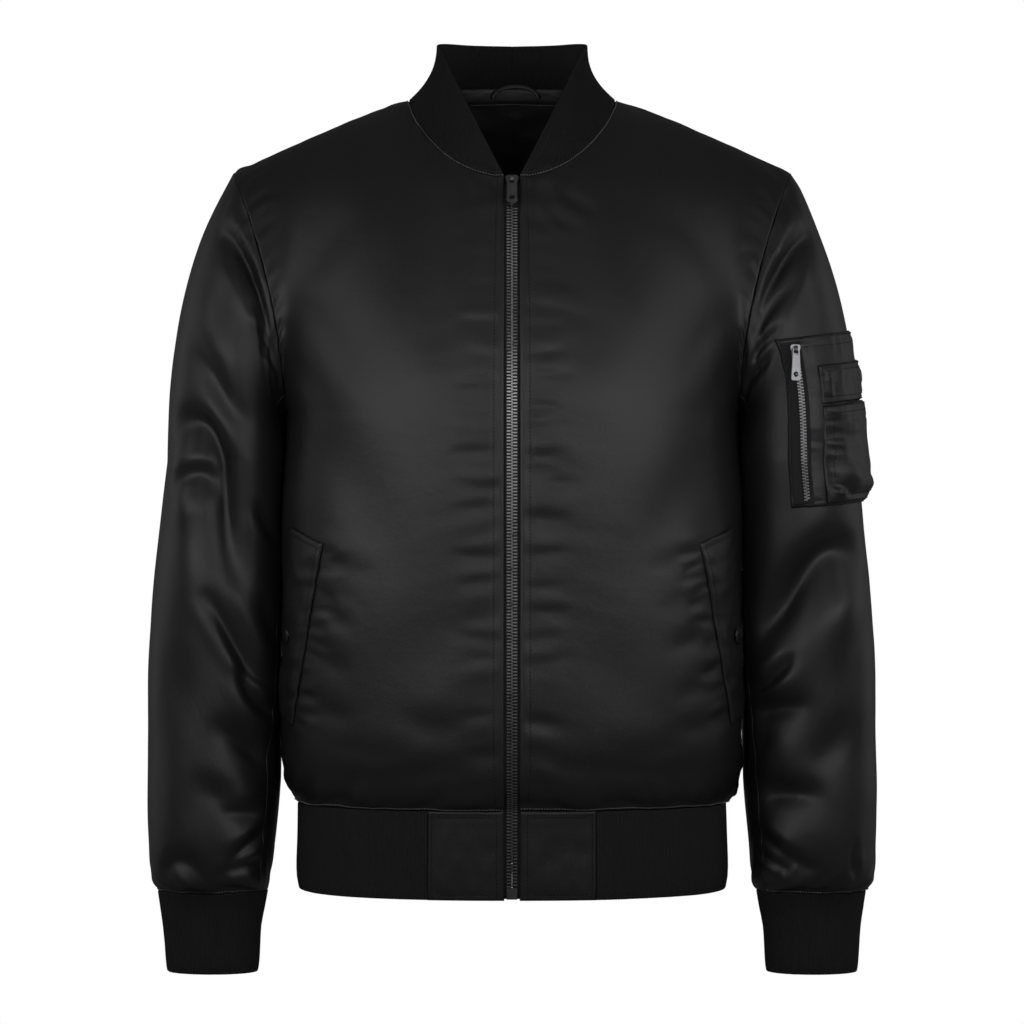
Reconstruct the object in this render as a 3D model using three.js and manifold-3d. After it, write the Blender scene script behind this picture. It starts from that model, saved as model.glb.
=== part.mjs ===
// A satin bomber jacket with rib-knit collar, cuffs and hem, standing out as it does when it is worn.
// Millimetres, +Z up. The front faces -Y and the wearer's left is +X. The origin is midway between the
// two points where the shoulder seams meet the collar.
import * as THREE from 'three';
import { mergeVertices } from 'three/addons/utils/BufferGeometryUtils.js';
import Module from 'manifold-3d';

const wasm = await Module();
wasm.setup();

// Driving dimensions
const SHELL = 2.4; // satin, wadding and lining together
const RIB = 3; // rib knit, folded double
const THIN = 1.2; // one layer of satin or tape
const SEAM_GAP = 0.3;
const LIE_GAP = 0.5; // between two layers of one piece
const POCKET_GAP = 0.8; // between a panel and a pocket on it
const HEM_Z = -581; // seam between the body and the hem rib
const BOTTOM_Z = -653;
const UNDERARM_Z = -262;
const BICEP_Z = -300; // first level ring of a sleeve, just under the armhole
const CUFF_Z = -654; // seam between sleeve and cuff
const CUFF_END_Z = -722;
const ZIP_HALF_GAP = 6.2; // centre line to the folded edge of each front
const TAB_X = 68; // far edge of the satin tabs at the ends of the hem rib
const NECK_X = 86; // where the shoulder seam meets the collar
const NECK_FRONT = { y: -90, z: -70.6 };
const NECK_BACK = { y: 60, z: 8 };
const SHOULDER_Y = 4;
const SHOULDER_TIP = { x: 231, z: -60 };
const ARMHOLE = { centreZ: -161, halfHeight: 101, front: 64, back: 58, bottomX: 186 };
const NECK_SHARE = 0.36; // share of a panel's top edge that is neckline; the rest is shoulder seam
const UNDERARM_V = 0.62; // share of a panel's height that lies below the underarm
const CAP_LENGTH = 240; // shoulder tip to the first level ring, along the outer line of the sleeve
const SLEEVE_LENGTH = CAP_LENGTH + BICEP_Z - CUFF_Z;
const SLEEVE_RADIUS = 66; // mean, turns an angle round the sleeve into a distance
const SLEEVE_CLEAR = 1.1; // between a sleeve and the body it hangs against

// Rings of the body and of the hem rib: half width, reach forward and back, and squareness
const TRUNK = [
  { z: -581, halfWidth: 178, front: 116, back: 106, square: 2.3 },
  { z: -566, halfWidth: 186.5, front: 128, back: 117, square: 2.4 },
  { z: -545, halfWidth: 190, front: 134, back: 122, square: 2.5 },
  { z: -500, halfWidth: 191, front: 137, back: 123, square: 2.5 },
  { z: -400, halfWidth: 190, front: 136, back: 119, square: 2.5 },
  { z: -330, halfWidth: 190, front: 137, back: 119, square: 2.5 },
  { z: -262, halfWidth: 186, front: 138, back: 121, square: 2.5 },
];
const HEM = [
  { z: -653, halfWidth: 177, front: 113, back: 103, square: 2.3 },
  { z: -640, halfWidth: 179, front: 114, back: 104, square: 2.3 },
  { z: -610, halfWidth: 178.5, front: 115, back: 105, square: 2.3 },
  { z: -581, halfWidth: 178, front: 116, back: 106, square: 2.3 },
];
// Level rings of a sleeve and a cuff: outer and inner reach from the centre plane, middle and half depth
const SLEEVE = [
  { z: -654, outer: 293, inner: 202, y: -10, halfDepth: 37 },
  { z: -645, outer: 298.5, inner: 199, y: -10, halfDepth: 47 },
  { z: -614, outer: 301, inner: 196, y: -7, halfDepth: 56 },
  { z: -581, outer: 302, inner: 193, y: -3, halfDepth: 60 },
  { z: -545, outer: 302, inner: 190.5, y: 1, halfDepth: 63 },
  { z: -498, outer: 302, inner: 186, y: 5, halfDepth: 66 },
  { z: -448, outer: 301, inner: 184, y: 9, halfDepth: 69 },
  { z: -365, outer: 294.5, inner: 181, y: 13, halfDepth: 74 },
  { z: -300, outer: 287, inner: 178, y: 14, halfDepth: 78 },
];
const CUFF = [
  { z: -722, outer: 285, inner: 210, y: -12, halfDepth: 26 },
  { z: -715, outer: 286, inner: 209, y: -12, halfDepth: 27 },
  { z: -685, outer: 288.5, inner: 207.5, y: -11, halfDepth: 28 },
  { z: -668, outer: 291, inner: 204.5, y: -10, halfDepth: 31 },
  { z: -654, outer: 293, inner: 202, y: -10, halfDepth: 37 },
];
// Top edge of the collar, by the angle of its seam from the centre back. flare is 1 where the collar
// leans in a straight line, as at its front ends, and more where it spreads at its foot.
const COLLAR_TOP = [
  { turn: 0, x: 0, y: 52, z: 51, flare: 1.6 },
  { turn: 30, x: 34, y: 46, z: 51, flare: 1.8 },
  { turn: 60, x: 55, y: 27, z: 50, flare: 2.1 },
  { turn: 90, x: 62, y: 4, z: 47, flare: 2.3 },
  { turn: 120, x: 62.5, y: -7, z: 44.5, flare: 1.7 },
  { turn: 150, x: 62, y: -14, z: 42.5, flare: 1.25 },
  { turn: 180, x: 61, y: -20, z: 40, flare: 1 },
];

// Largest folds. across and down place the middle of a fold: on the body, across is the distance from
// the centre line and down is the height; on a sleeve, across is degrees round from the outer line
// towards the front and down is the length from the shoulder. heading turns the fold from straight
// across; bend hooks both its ends. Each is a trough with a lower ridge beside it.
const SLEEVE_FOLDS = {
  right: [
    { across: 66, down: 120, heading: 58, length: 130, width: 12, depth: 4, bend: 0 },
    { across: 75, down: 268, heading: 40, length: 120, width: 16, depth: 8, bend: 22 },
    { across: 88, down: 338, heading: 52, length: 150, width: 16, depth: 8, bend: 14 },
    { across: 78, down: 425, heading: 46, length: 150, width: 15, depth: 7, bend: -8 },
    { across: 92, down: 487, heading: 40, length: 120, width: 14, depth: 5, bend: 0 },
    { across: 60, down: 556, heading: -22, length: 95, width: 12, depth: 6, bend: 8 },
    { across: -95, down: 300, heading: -35, length: 130, width: 16, depth: 7, bend: 10 },
    { across: -80, down: 400, heading: -42, length: 140, width: 15, depth: 7, bend: 0 },
    { across: -100, down: 510, heading: -30, length: 110, width: 14, depth: 6, bend: 6 },
  ],
  left: [
    { across: 72, down: 118, heading: 56, length: 120, width: 12, depth: 4, bend: 0 },
    { across: 84, down: 392, heading: 50, length: 140, width: 16, depth: 8, bend: -8 },
    { across: 92, down: 462, heading: 44, length: 130, width: 14, depth: 6, bend: 0 },
    { across: 60, down: 554, heading: -20, length: 95, width: 12, depth: 6, bend: 8 },
    { across: -95, down: 320, heading: -35, length: 130, width: 16, depth: 7, bend: 10 },
    { across: -82, down: 420, heading: -42, length: 140, width: 15, depth: 7, bend: 0 },
    { across: -100, down: 520, heading: -30, length: 110, width: 14, depth: 6, bend: 6 },
  ],
};
const FRONT_FOLDS = [
  { across: 30, down: -256, heading: 12, length: 52, width: 9, depth: 2.2, bend: 0 },
  { across: 30, down: -318, heading: -8, length: 56, width: 9, depth: 2.4, bend: 0 },
  { across: 32, down: -380, heading: 14, length: 58, width: 9, depth: 2.4, bend: 0 },
  { across: 30, down: -442, heading: 6, length: 54, width: 9, depth: 2.2, bend: 0 },
  { across: 105, down: -556, heading: 4, length: 150, width: 10, depth: 3, bend: 3 },
];
const BACK_FOLDS = [
  { across: 112, down: -300, heading: 42, length: 150, width: 17, depth: 5, bend: 10 },
  { across: -118, down: -318, heading: -40, length: 140, width: 17, depth: 5, bend: 10 },
  { across: 70, down: -470, heading: 10, length: 170, width: 16, depth: 5, bend: 8 },
  { across: -80, down: -510, heading: -8, length: 160, width: 15, depth: 4, bend: 8 },
  { across: 10, down: -552, heading: 0, length: 220, width: 12, depth: 3, bend: 4 },
];

// Hand pockets: the sewn edge of the flap from its top to its bottom, x and z on the front
const FLAP = { topX: 151, topZ: -367, bottomX: 178, bottomZ: -516, width: 42, rise: 13, snapAlong: 0.57, snapOut: 0.7 };
// Flat pocket on the left sleeve: its front and outer edges in armhole steps round the sleeve, and the
// heights of its corners
const PATCH = { frontStep: 6, outerStep: -1, upperFront: -202, upperOuter: -189, lowerFront: -339, lowerOuter: -331 };
// What lies on that pocket, in shares of its width and of its height
const ZIP_TAPE = { from: 0.02, to: 0.155, foot: 0.02, head: 0.975 };
const SLEEVE_ZIP = { at: 0.106, halfWidth: 0.019, foot: 0.04, head: 0.955, slider: 0.93 };
const PEN_FLAP = { from: 0.25, to: 1, foot: 0.6, head: 0.825 };
const PEN_BAG = { from: 0.25, to: 1, foot: 0.01, head: 0.59, edge: 1.4, stand: 7.5 };
const PEN_SNAP = { out: 0.85, rise: 0.73 };
const SNAP_RADIUS = 7.5;

const QUARTER = Math.PI / 2;
const { clamp, degToRad, lerp, smoothstep } = THREE.MathUtils;
const V = (x, y, z) => new THREE.Vector3(x, y, z);

function hermite(from, to, fromSlope, toSlope, t) {
  const t2 = t * t;
  const t3 = t2 * t;
  return (2 * t3 - 3 * t2 + 1) * from + (3 * t2 - 2 * t3) * to
    + (t3 - 2 * t2 + t) * fromSlope + (t3 - t2) * toSlope;
}

// A column of a table at a value of its first column, as a smooth curve through its rows.
function read(table, column, value, key = 'z') {
  const last = table.length - 1;
  const at = clamp(value, table[0][key], table[last][key]);
  let i = 0;
  while (i < last - 1 && at > table[i + 1][key]) i++;
  const slope = (k) => {
    const low = table[Math.max(k - 1, 0)];
    const high = table[Math.min(k + 1, last)];
    return (high[column] - low[column]) / (high[key] - low[key]);
  };
  const span = table[i + 1][key] - table[i][key];
  const t = (at - table[i][key]) / span;
  return hermite(table[i][column], table[i + 1][column], slope(i) * span, slope(i + 1) * span, t);
}

// Relief of a set of folds at a place on a panel, outwards positive.
function foldRelief(folds, across, down) {
  let relief = 0;
  for (const fold of folds) {
    const turn = degToRad(fold.heading);
    const x = across - fold.across;
    const y = down - fold.down;
    const along = (x * Math.cos(turn) + y * Math.sin(turn)) / (fold.length / 2);
    if (Math.abs(along) >= 1) continue;
    const aside = (y * Math.cos(turn) - x * Math.sin(turn) - fold.bend * along * along) / fold.width;
    const ridge = 0.6 * Math.exp(-(((aside - 1.6) / 0.9) ** 2));
    relief += fold.depth * (1 - along * along) ** 2 * (ridge - Math.exp(-aside * aside));
  }
  return relief;
}

// A surface of two parameters with the limits of each, the step its slopes are measured over, and
// whether u across v turns outwards (1) or inwards (-1).
const surface = (at, out, step, range) => ({ at, out, step, range });

function normalAt({ at, out, normal, step: [du, dv], range: [u0, u1, v0, v1] }, u, v) {
  if (normal) return normal(u, v);
  const alongU = at(Math.min(u + du, u1), v).sub(at(Math.max(u - du, u0), v));
  const alongV = at(u, Math.min(v + dv, v1)).sub(at(u, Math.max(v - dv, v0)));
  return alongU.cross(alongV).normalize().multiplyScalar(out);
}
function folded(base, relief) {
  const at = (u, v) => {
    const point = base.at(u, v);
    return point.addScaledVector(normalAt(base, u, v), relief(u, v, point));
  };
  return { ...base, at };
}
// The flat facets a panel is made of between its stations, for what lies on it.
function faceted(base, us, vs) {
  const cell = (stations, value) => {
    const k = clamp(stations.findIndex((s) => s > value) - 1, 0, stations.length - 2);
    const i = value >= stations[stations.length - 1] ? stations.length - 2 : k;
    return [i, (value - stations[i]) / (stations[i + 1] - stations[i])];
  };
  const at = (u, v) => {
    const [i, fu] = cell(us, u);
    const [j, fv] = cell(vs, v);
    const near = base.at(us[i], vs[j]);
    const far = base.at(us[i + 1], vs[j + 1]);
    const side = fu >= fv ? base.at(us[i + 1], vs[j]) : base.at(us[i], vs[j + 1]);
    const [first, second] = fu >= fv ? [fu, fv] : [fv, fu];
    return near.clone().addScaledVector(side.clone().sub(near), first).addScaledVector(far.sub(side), second);
  };
  return { ...base, at, normal: (u, v) => normalAt(base, u, v) };
}
const SIDE = { left: 1, right: -1 };
function onSide(base, side) {
  const at = (u, v) => base.at(u, v).multiply(V(SIDE[side], 1, 1));
  return { ...base, at, out: base.out * SIDE[side] };
}

// A quarter of a level ring of the body: u is 0 at the centre line and 1 at the side.
function ringPoint(table, face, u, z) {
  const power = 2 / read(table, 'square', z);
  const innerX = face === 'front' ? ZIP_HALF_GAP : 0;
  return V(
    lerp(innerX, read(table, 'halfWidth', z), Math.sin(u * QUARTER) ** power),
    (face === 'front' ? -1 : 1) * read(table, face, z) * Math.max(Math.cos(u * QUARTER), 0) ** power,
    z,
  );
}

// How far out the side of the body reaches at a depth y.
function bodySide(y, z) {
  const square = read(TRUNK, 'square', z);
  const share = Math.min(Math.abs(y) / read(TRUNK, y < 0 ? 'front' : 'back', z), 1);
  return read(TRUNK, 'halfWidth', z) * (1 - share ** square) ** (1 / square);
}

// The armhole seam: turn 0 is the shoulder tip, a quarter turn the front, half a turn the underarm.
function armhole(turn) {
  const z = ARMHOLE.centreZ + ARMHOLE.halfHeight * Math.cos(turn);
  const rise = clamp((z - UNDERARM_Z) / (SHOULDER_TIP.z - UNDERARM_Z), 0, 1);
  const reach = Math.sin(turn) > 0 ? ARMHOLE.front : ARMHOLE.back;
  return V(
    lerp(ARMHOLE.bottomX, SHOULDER_TIP.x, rise ** 1.9),
    SHOULDER_Y * rise - reach * Math.sin(turn),
    z,
  );
}

// The neckline, from its centre (turn 0) to the shoulder seam (a quarter turn).
function neckline(centre, innerX, turn) {
  const c = Math.max(Math.cos(turn), 0);
  return V(
    lerp(innerX, NECK_X, Math.sin(turn)),
    lerp(SHOULDER_Y, centre.y, c),
    centre.z * c ** 1.4,
  );
}

// Depth of the centre line at a share of the way up from the underarm to the neckline.
const centreDepth = (depth, neckY, share) => lerp(depth, neckY, share ** 2.3);

// Half of the front or back of the body. u runs from the centre to the side seam and armhole, v from the
// hem seam to the neckline and shoulder seam.
function bodyHalf(face, u, v) {
  if (v <= UNDERARM_V) return ringPoint(TRUNK, face, u, lerp(HEM_Z, UNDERARM_Z, v / UNDERARM_V));
  const t = (v - UNDERARM_V) / (1 - UNDERARM_V);
  const isFront = face === 'front';
  const neck = isFront ? NECK_FRONT : NECK_BACK;
  const depth = (isFront ? -1 : 1) * read(TRUNK, face, UNDERARM_Z);
  const low = ringPoint(TRUNK, face, u, UNDERARM_Z);
  const high = V(0, 0, 0);
  if (u < NECK_SHARE) {
    high.copy(neckline(neck, isFront ? ZIP_HALF_GAP : 0, (u / NECK_SHARE) * QUARTER));
  } else {
    const k = (u - NECK_SHARE) / (1 - NECK_SHARE);
    high.set(lerp(NECK_X, SHOULDER_TIP.x, k), SHOULDER_Y, SHOULDER_TIP.z * k ** 1.12);
  }
  // The lower edge keeps a share stay of x and y and a share down of height, so that the surface leaves
  // the chest straight up and comes over the shoulder level.
  const stay = Math.cos(t * QUARTER);
  const down = 1 - Math.sin(t * QUARTER);
  const centre = 1 - u ** 4;
  const side = 1 - centre;
  const edge = armhole(isFront ? Math.PI * (1 - t) : Math.PI * (1 + t));
  const centreY = centreDepth(depth, neck.y, Math.sin(t * QUARTER)) - lerp(neck.y, depth, stay);
  return V(
    lerp(high.x, low.x, stay) + side * (edge.x - lerp(SHOULDER_TIP.x, ARMHOLE.bottomX, stay)),
    lerp(high.y, low.y, stay) + centre * centreY + side * (edge.y - lerp(SHOULDER_Y, 0, stay)),
    lerp(high.z, low.z, down) + side * (edge.z - lerp(SHOULDER_TIP.z, UNDERARM_Z, down)),
  );
}

function sleeveRing(table, turn, z) {
  const outer = read(table, 'outer', z);
  const inner = read(table, 'inner', z);
  return V(
    (outer + inner) / 2 + ((outer - inner) / 2) * Math.cos(turn),
    read(table, 'y', z) - read(table, 'halfDepth', z) * Math.sin(turn),
    z,
  );
}
// A sleeve: turn as at the armhole, down 0 at the armhole seam and CAP_LENGTH at the first level ring.
function sleevePoint(turn, down) {
  if (down >= CAP_LENGTH) return sleeveRing(SLEEVE, turn, BICEP_Z - (down - CAP_LENGTH));
  const t = down / CAP_LENGTH;
  const start = armhole(turn);
  const end = sleeveRing(SLEEVE, turn, BICEP_Z);
  const c = Math.cos(turn);
  const leave = V(0.68 - 0.18 * c, -0.25 * Math.sin(turn), -0.69 - 0.18 * c).normalize();
  const pull = start.distanceTo(end) * 1.05;
  return V(
    hermite(start.x, end.x, leave.x * pull, 0, t),
    hermite(start.y, end.y, leave.y * pull, 0, t),
    hermite(start.z, end.z, leave.z * pull, -pull, t),
  );
}

// Folds die away towards the edges of a panel, so that the seams keep their line.
const awayFrom = (distance, reach) => smoothstep(distance, 0, reach);

function frontSurface(side) {
  const base = surface((u, v) => bodyHalf('front', u, v), 1, [0.004, 0.004], [0, 1, 0, 1]);
  const relief = (u, v, p) => foldRelief(FRONT_FOLDS, p.x, p.z)
    * smoothstep(u, 0.03, 0.1) * awayFrom(1 - u, 0.2) * awayFrom(v, 0.04) * awayFrom(1 - v, 0.04);
  return onSide(folded(base, relief), side);
}
function backSurface() {
  const half = (w, v) => bodyHalf('back', Math.abs(w), v).multiply(V(Math.sign(w) || 1, 1, 1));
  const base = surface(half, -1, [0.004, 0.004], [-1, 1, 0, 1]);
  const relief = (w, v, p) => foldRelief(BACK_FOLDS, p.x, p.z)
    * awayFrom(1 - Math.abs(w), 0.2) * awayFrom(v, 0.04) * awayFrom(1 - v, 0.04);
  return folded(base, relief);
}
function sleeveSurface(side) {
  const range = [-Infinity, Infinity, 0, SLEEVE_LENGTH];
  const folds = SLEEVE_FOLDS[side].map((f) => ({ ...f, across: degToRad(f.across) * SLEEVE_RADIUS }));
  const relief = (turn, down) => {
    const round = Math.atan2(Math.sin(turn), Math.cos(turn)) * SLEEVE_RADIUS;
    return foldRelief(folds, round, down) * awayFrom(1 + Math.cos(turn), 0.35)
      * awayFrom(down, 50) * awayFrom(SLEEVE_LENGTH - down, 16);
  };
  const hanging = folded(surface(sleevePoint, 1, [0.02, 1], range), relief);
  // The body pushes aside what would run into it, over a soft shoulder of PRESS.
  const PRESS = 4;
  const at = (turn, down) => {
    const point = hanging.at(turn, down);
    if (point.z > UNDERARM_Z || point.z < HEM_Z) return point;
    const into = bodySide(point.y, point.z) + SLEEVE_CLEAR - point.x;
    if (into > PRESS) point.x += into;
    else if (into > -PRESS) point.x += (into + PRESS) ** 2 / (4 * PRESS);
    return point;
  };
  return onSide({ ...hanging, at }, side);
}
function cuffSurface(side) {
  const at = (turn, z) => sleeveRing(CUFF, turn, z);
  return onSide(surface(at, -1, [0.02, 1], [-Infinity, Infinity, CUFF_END_Z, CUFF_Z]), side);
}
// The hem rib all the way round: 0 is the centre front, 1 the left side, 2 the centre back, 3 the right.
function hemSurface() {
  const at = (round, z) => {
    const away = Math.min(round, 4 - round);
    const u = away <= 1 ? away : 2 - away;
    return ringPoint(HEM, away <= 1 ? 'front' : 'back', u, z).multiply(V(round > 2 ? -1 : 1, 1, 1));
  };
  return surface(at, 1, [0.01, 1], [0, 4, BOTTOM_Z, HEM_Z]);
}
// The centre line of the front, carried a little to each side of it, for the zip.
function zipSurface() {
  const at = (x, z) => {
    if (z <= HEM_Z) return V(x, -read(HEM, 'front', z), z);
    if (z <= UNDERARM_Z) return V(x, -read(TRUNK, 'front', z), z);
    const share = (z - UNDERARM_Z) / (NECK_FRONT.z - UNDERARM_Z);
    return V(x, centreDepth(-read(TRUNK, 'front', UNDERARM_Z), NECK_FRONT.y, share), z);
  };
  return surface(at, 1, [1, 1], [-20, 20, BOTTOM_Z, -60]);
}
// The collar: turn is 0 at the centre back, 90 at the left shoulder and 180 at the centre front, and
// negative on the right; v rises from the neck seam to the top edge.
function collarSurface() {
  const at = (turn, v) => {
    const round = Math.abs(turn);
    const foot = round <= 90
      ? neckline(NECK_BACK, 0, degToRad(round))
      : neckline(NECK_FRONT, ZIP_HALF_GAP, degToRad(180 - round));
    const top = (column) => read(COLLAR_TOP, column, round, 'turn');
    const inwards = 1 - (1 - v) ** top('flare');
    return V(lerp(foot.x, top('x'), inwards), lerp(foot.y, top('y'), inwards), lerp(foot.z, top('z'), v))
      .multiply(V(turn < 0 ? -1 : 1, 1, 1));
  };
  return surface(at, -1, [1, 0.02], [-180, 180, 0, 1]);
}

// A closed wall of cloth between a surface moved outwards by outer and by inner. us and vs are the
// stations of its grid. trim names the edges drawn back by half a seam gap, level those cut flat, and
// cut may give the direction of an edge's cut. outer may vary over the piece.
function wall({ on, us, vs, outer = 0, inner, trim = '', level = '', cut = () => null, closed = false }) {
  const columns = closed ? us.length - 1 : us.length;
  const rows = vs.length;
  const at = (i, j) => on.at(us[i], vs[j]);
  const edgesOf = (i, j) => [
    i === 0 && ['u0', i + 1, j], i === us.length - 1 && ['u1', i - 1, j],
    j === 0 && ['v0', i, j + 1], j === rows - 1 && ['v1', i, j - 1],
  ].filter(Boolean);
  const layer = (lift) => {
    const height = typeof lift === 'function' ? lift : () => lift;
    const points = [];
    for (let j = 0; j < rows; j++) {
      for (let i = 0; i < columns; i++) {
        const point = at(i, j);
        let way = cut(us[i], vs[j]);
        if (!way) {
          way = normalAt(on, us[i], vs[j]);
          if (edgesOf(i, j).some(([name]) => level.includes(name))) way.setZ(0).normalize();
        }
        const moved = point.clone();
        for (const [name, nextI, nextJ] of edgesOf(i, j)) {
          if (!trim.includes(name)) continue;
          moved.addScaledVector(at(nextI, nextJ).sub(point).normalize(), SEAM_GAP / 2);
        }
        points.push(moved.addScaledVector(way, height(i / (us.length - 1), j / (rows - 1))));
      }
    }
    return points;
  };
  return gridSolid([...layer(outer), ...layer(inner)], columns, rows, closed);
}

// A solid from its outer grid of points followed by its inner one.
function gridSolid(points, columns, rows, closed) {
  const size = columns * rows;
  const spans = closed ? columns : columns - 1;
  const index = [];
  const quad = (a, b, c, d) => index.push(a, b, c, a, c, d);
  for (let j = 0; j < rows - 1; j++) {
    for (let i = 0; i < spans; i++) {
      const a = j * columns + i;
      const b = j * columns + ((i + 1) % columns);
      quad(a, b, b + columns, a + columns);
      index.push(size + a, size + b + columns, size + b, size + a, size + a + columns, size + b + columns);
    }
  }
  const top = (rows - 1) * columns;
  for (let i = 0; i < spans; i++) {
    const b = (i + 1) % columns;
    quad(i, size + i, size + b, b);
    quad(top + b, size + top + b, size + top + i, top + i);
  }
  for (let j = 0; j < rows - 1 && !closed; j++) {
    const a = j * columns;
    const b = a + columns - 1;
    quad(a, a + columns, size + a + columns, size + a);
    quad(b, size + b, size + b + columns, b + columns);
  }
  const geometry = new THREE.BufferGeometry();
  geometry.setAttribute('position', new THREE.Float32BufferAttribute(points.flatMap((p) => p.toArray()), 3));
  geometry.setIndex(index);
  return facingOut(geometry);
}

// The same solid with its triangles turned round if they face inwards.
function facingOut(geometry) {
  const corners = geometry.getAttribute('position');
  const index = geometry.index.array;
  const corner = (k) => V(0, 0, 0).fromBufferAttribute(corners, index[k]);
  let volume = 0;
  for (let k = 0; k < index.length; k += 3) volume += corner(k).dot(corner(k + 1).cross(corner(k + 2)));
  for (let k = 0; k < index.length && volume < 0; k += 3) {
    [index[k + 1], index[k + 2]] = [index[k + 2], index[k + 1]];
  }
  geometry.computeVertexNormals();
  return geometry;
}

// Two closed pieces joined into one.
function join(first, second) {
  const solid = (geometry) => {
    const bare = geometry.clone();
    bare.deleteAttribute('normal');
    bare.deleteAttribute('uv');
    const merged = mergeVertices(bare, 1e-4);
    return new wasm.Manifold(new wasm.Mesh({
      numProp: 3,
      vertProperties: new Float32Array(merged.getAttribute('position').array),
      triVerts: new Uint32Array(merged.index.array),
    }));
  };
  const mesh = solid(first).add(solid(second)).getMesh();
  const geometry = new THREE.BufferGeometry();
  geometry.setAttribute('position', new THREE.BufferAttribute(mesh.vertProperties, 3));
  geometry.setIndex(new THREE.BufferAttribute(mesh.triVerts, 1));
  geometry.computeVertexNormals();
  return geometry;
}

const evenly = (from, to, count) => Array.from({ length: count + 1 }, (_, i) => lerp(from, to, i / count));

// A frame on a surface: local z stands off it, local y points up along it.
function frameOn(on, u, v) {
  const out = normalAt(on, u, v);
  const up = V(0, 0, 1).addScaledVector(out, -out.z).normalize();
  const across = up.clone().cross(out);
  return new THREE.Matrix4().makeBasis(across, up, out).setPosition(on.at(u, v));
}
const raisedBy = (frame, height) => frame.clone().multiply(new THREE.Matrix4().makeTranslation(0, 0, height));

// Finishes
const finish = (color, roughness, metalness) => new THREE.MeshStandardMaterial({ color, roughness, metalness });
const SATIN = finish(0x1b1b1e, 0.42, 0);
const KNIT = finish(0x131315, 0.95, 0);
const LINING = finish(0x101012, 0.55, 0);
const WEBBING = finish(0x0e0e10, 0.85, 0);
const METAL = finish(0x77777a, 0.35, 1);

const jacket = new THREE.Group();
function add(name, geometry, material, frame) {
  const mesh = new THREE.Mesh(geometry, material);
  mesh.name = name;
  if (frame) mesh.applyMatrix4(frame);
  jacket.add(mesh);
}

const FRONT = { left: frontSurface('left'), right: frontSurface('right') };
const BACK = backSurface();
const SLEEVES = { left: sleeveSurface('left'), right: sleeveSurface('right') };
const COLLAR = collarSurface();
const ZIP = zipSurface();

// Where the sleeve drops away from the body over the shoulder, both are cut along the plane that halves
// the angle between them. Where it stands out from the body, each keeps its own square edge.
function armholeCut(side, turn) {
  const round = ((turn % (2 * Math.PI)) + 2 * Math.PI) % (2 * Math.PI);
  const share = Math.abs(round - Math.PI) / Math.PI;
  const v = lerp(UNDERARM_V, 1, share);
  const body = round <= Math.PI ? normalAt(FRONT[side], 1, v) : normalAt(BACK, SIDE[side], v);
  const sleeve = normalAt(SLEEVES[side], turn, 0);
  const leave = SLEEVES[side].at(turn, 4).sub(SLEEVES[side].at(turn, 0));
  if (body.dot(leave) > 0) return null;
  const halving = body.clone().add(sleeve).normalize();
  return halving.divideScalar(Math.max(halving.dot(body), 0.6));
}

// Body panels
const HALF_US = [0, 0.04, 0.1, 0.17, 0.235, 0.3, NECK_SHARE, 0.45, 0.54, 0.63, 0.72, 0.81, 0.9, 0.96, 1];
const ARM_STEPS = 11;
const LOW_VS = [-581, -571, -557, -538, -512, -482, -450, -415, -378, -340, -300]
  .map((z) => ((z - HEM_Z) / (UNDERARM_Z - HEM_Z)) * UNDERARM_V);
const BODY_VS = [...LOW_VS, ...evenly(UNDERARM_V, 1, ARM_STEPS)];
for (const side of ['left', 'right']) {
  const cut = (u, v) => (u === 1 && v >= UNDERARM_V
    ? armholeCut(side, Math.PI * (1 - (v - UNDERARM_V) / (1 - UNDERARM_V))) : null);
  add(`front_${side}`, wall({
    on: FRONT[side], us: HALF_US, vs: BODY_VS, inner: -SHELL, trim: 'u1v0v1', level: 'v0', cut,
  }), SATIN);
}
const backCut = (w, v) => (Math.abs(w) === 1 && v >= UNDERARM_V
  ? armholeCut(w > 0 ? 'left' : 'right', Math.PI * (1 + (v - UNDERARM_V) / (1 - UNDERARM_V))) : null);
const BACK_US = [...HALF_US.slice(1).reverse().map((u) => -u), ...HALF_US];
add('back', wall({
  on: BACK, us: BACK_US, vs: BODY_VS, inner: -SHELL, trim: 'u0u1v0v1', level: 'v0', cut: backCut,
}), SATIN);

// Sleeves, each of an upper piece round the outside of the arm and an under piece against the body
const DOWNS = [0, 10, 28, 52, 80, 110, 142, 175, 208, CAP_LENGTH, 264, 288, 312, 336, 360, 384, 408, 432, 456,
  480, 504, 526, 546, 564, 580, SLEEVE_LENGTH];
const turns = (from, to) => evenly(from, to, to - from).map((k) => (k * Math.PI) / ARM_STEPS);
for (const side of ['left', 'right']) {
  const shared = {
    on: SLEEVES[side], vs: DOWNS, inner: -SHELL, trim: 'u0u1v0v1', level: 'v1',
    cut: (turn, down) => (down === 0 ? armholeCut(side, turn) : null),
  };
  add(`sleeve_top_${side}`, wall({ ...shared, us: turns(-7, 9) }), SATIN);
  add(`sleeve_under_${side}`, wall({ ...shared, us: turns(9, 15) }), SATIN);
  add(`cuff_${side}`, wall({
    on: cuffSurface(side), us: turns(0, 22), vs: [CUFF_END_Z, -716, -690, -668, CUFF_Z],
    inner: -RIB, trim: 'v1', level: 'v0v1', closed: true,
  }), KNIT);
}

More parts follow.
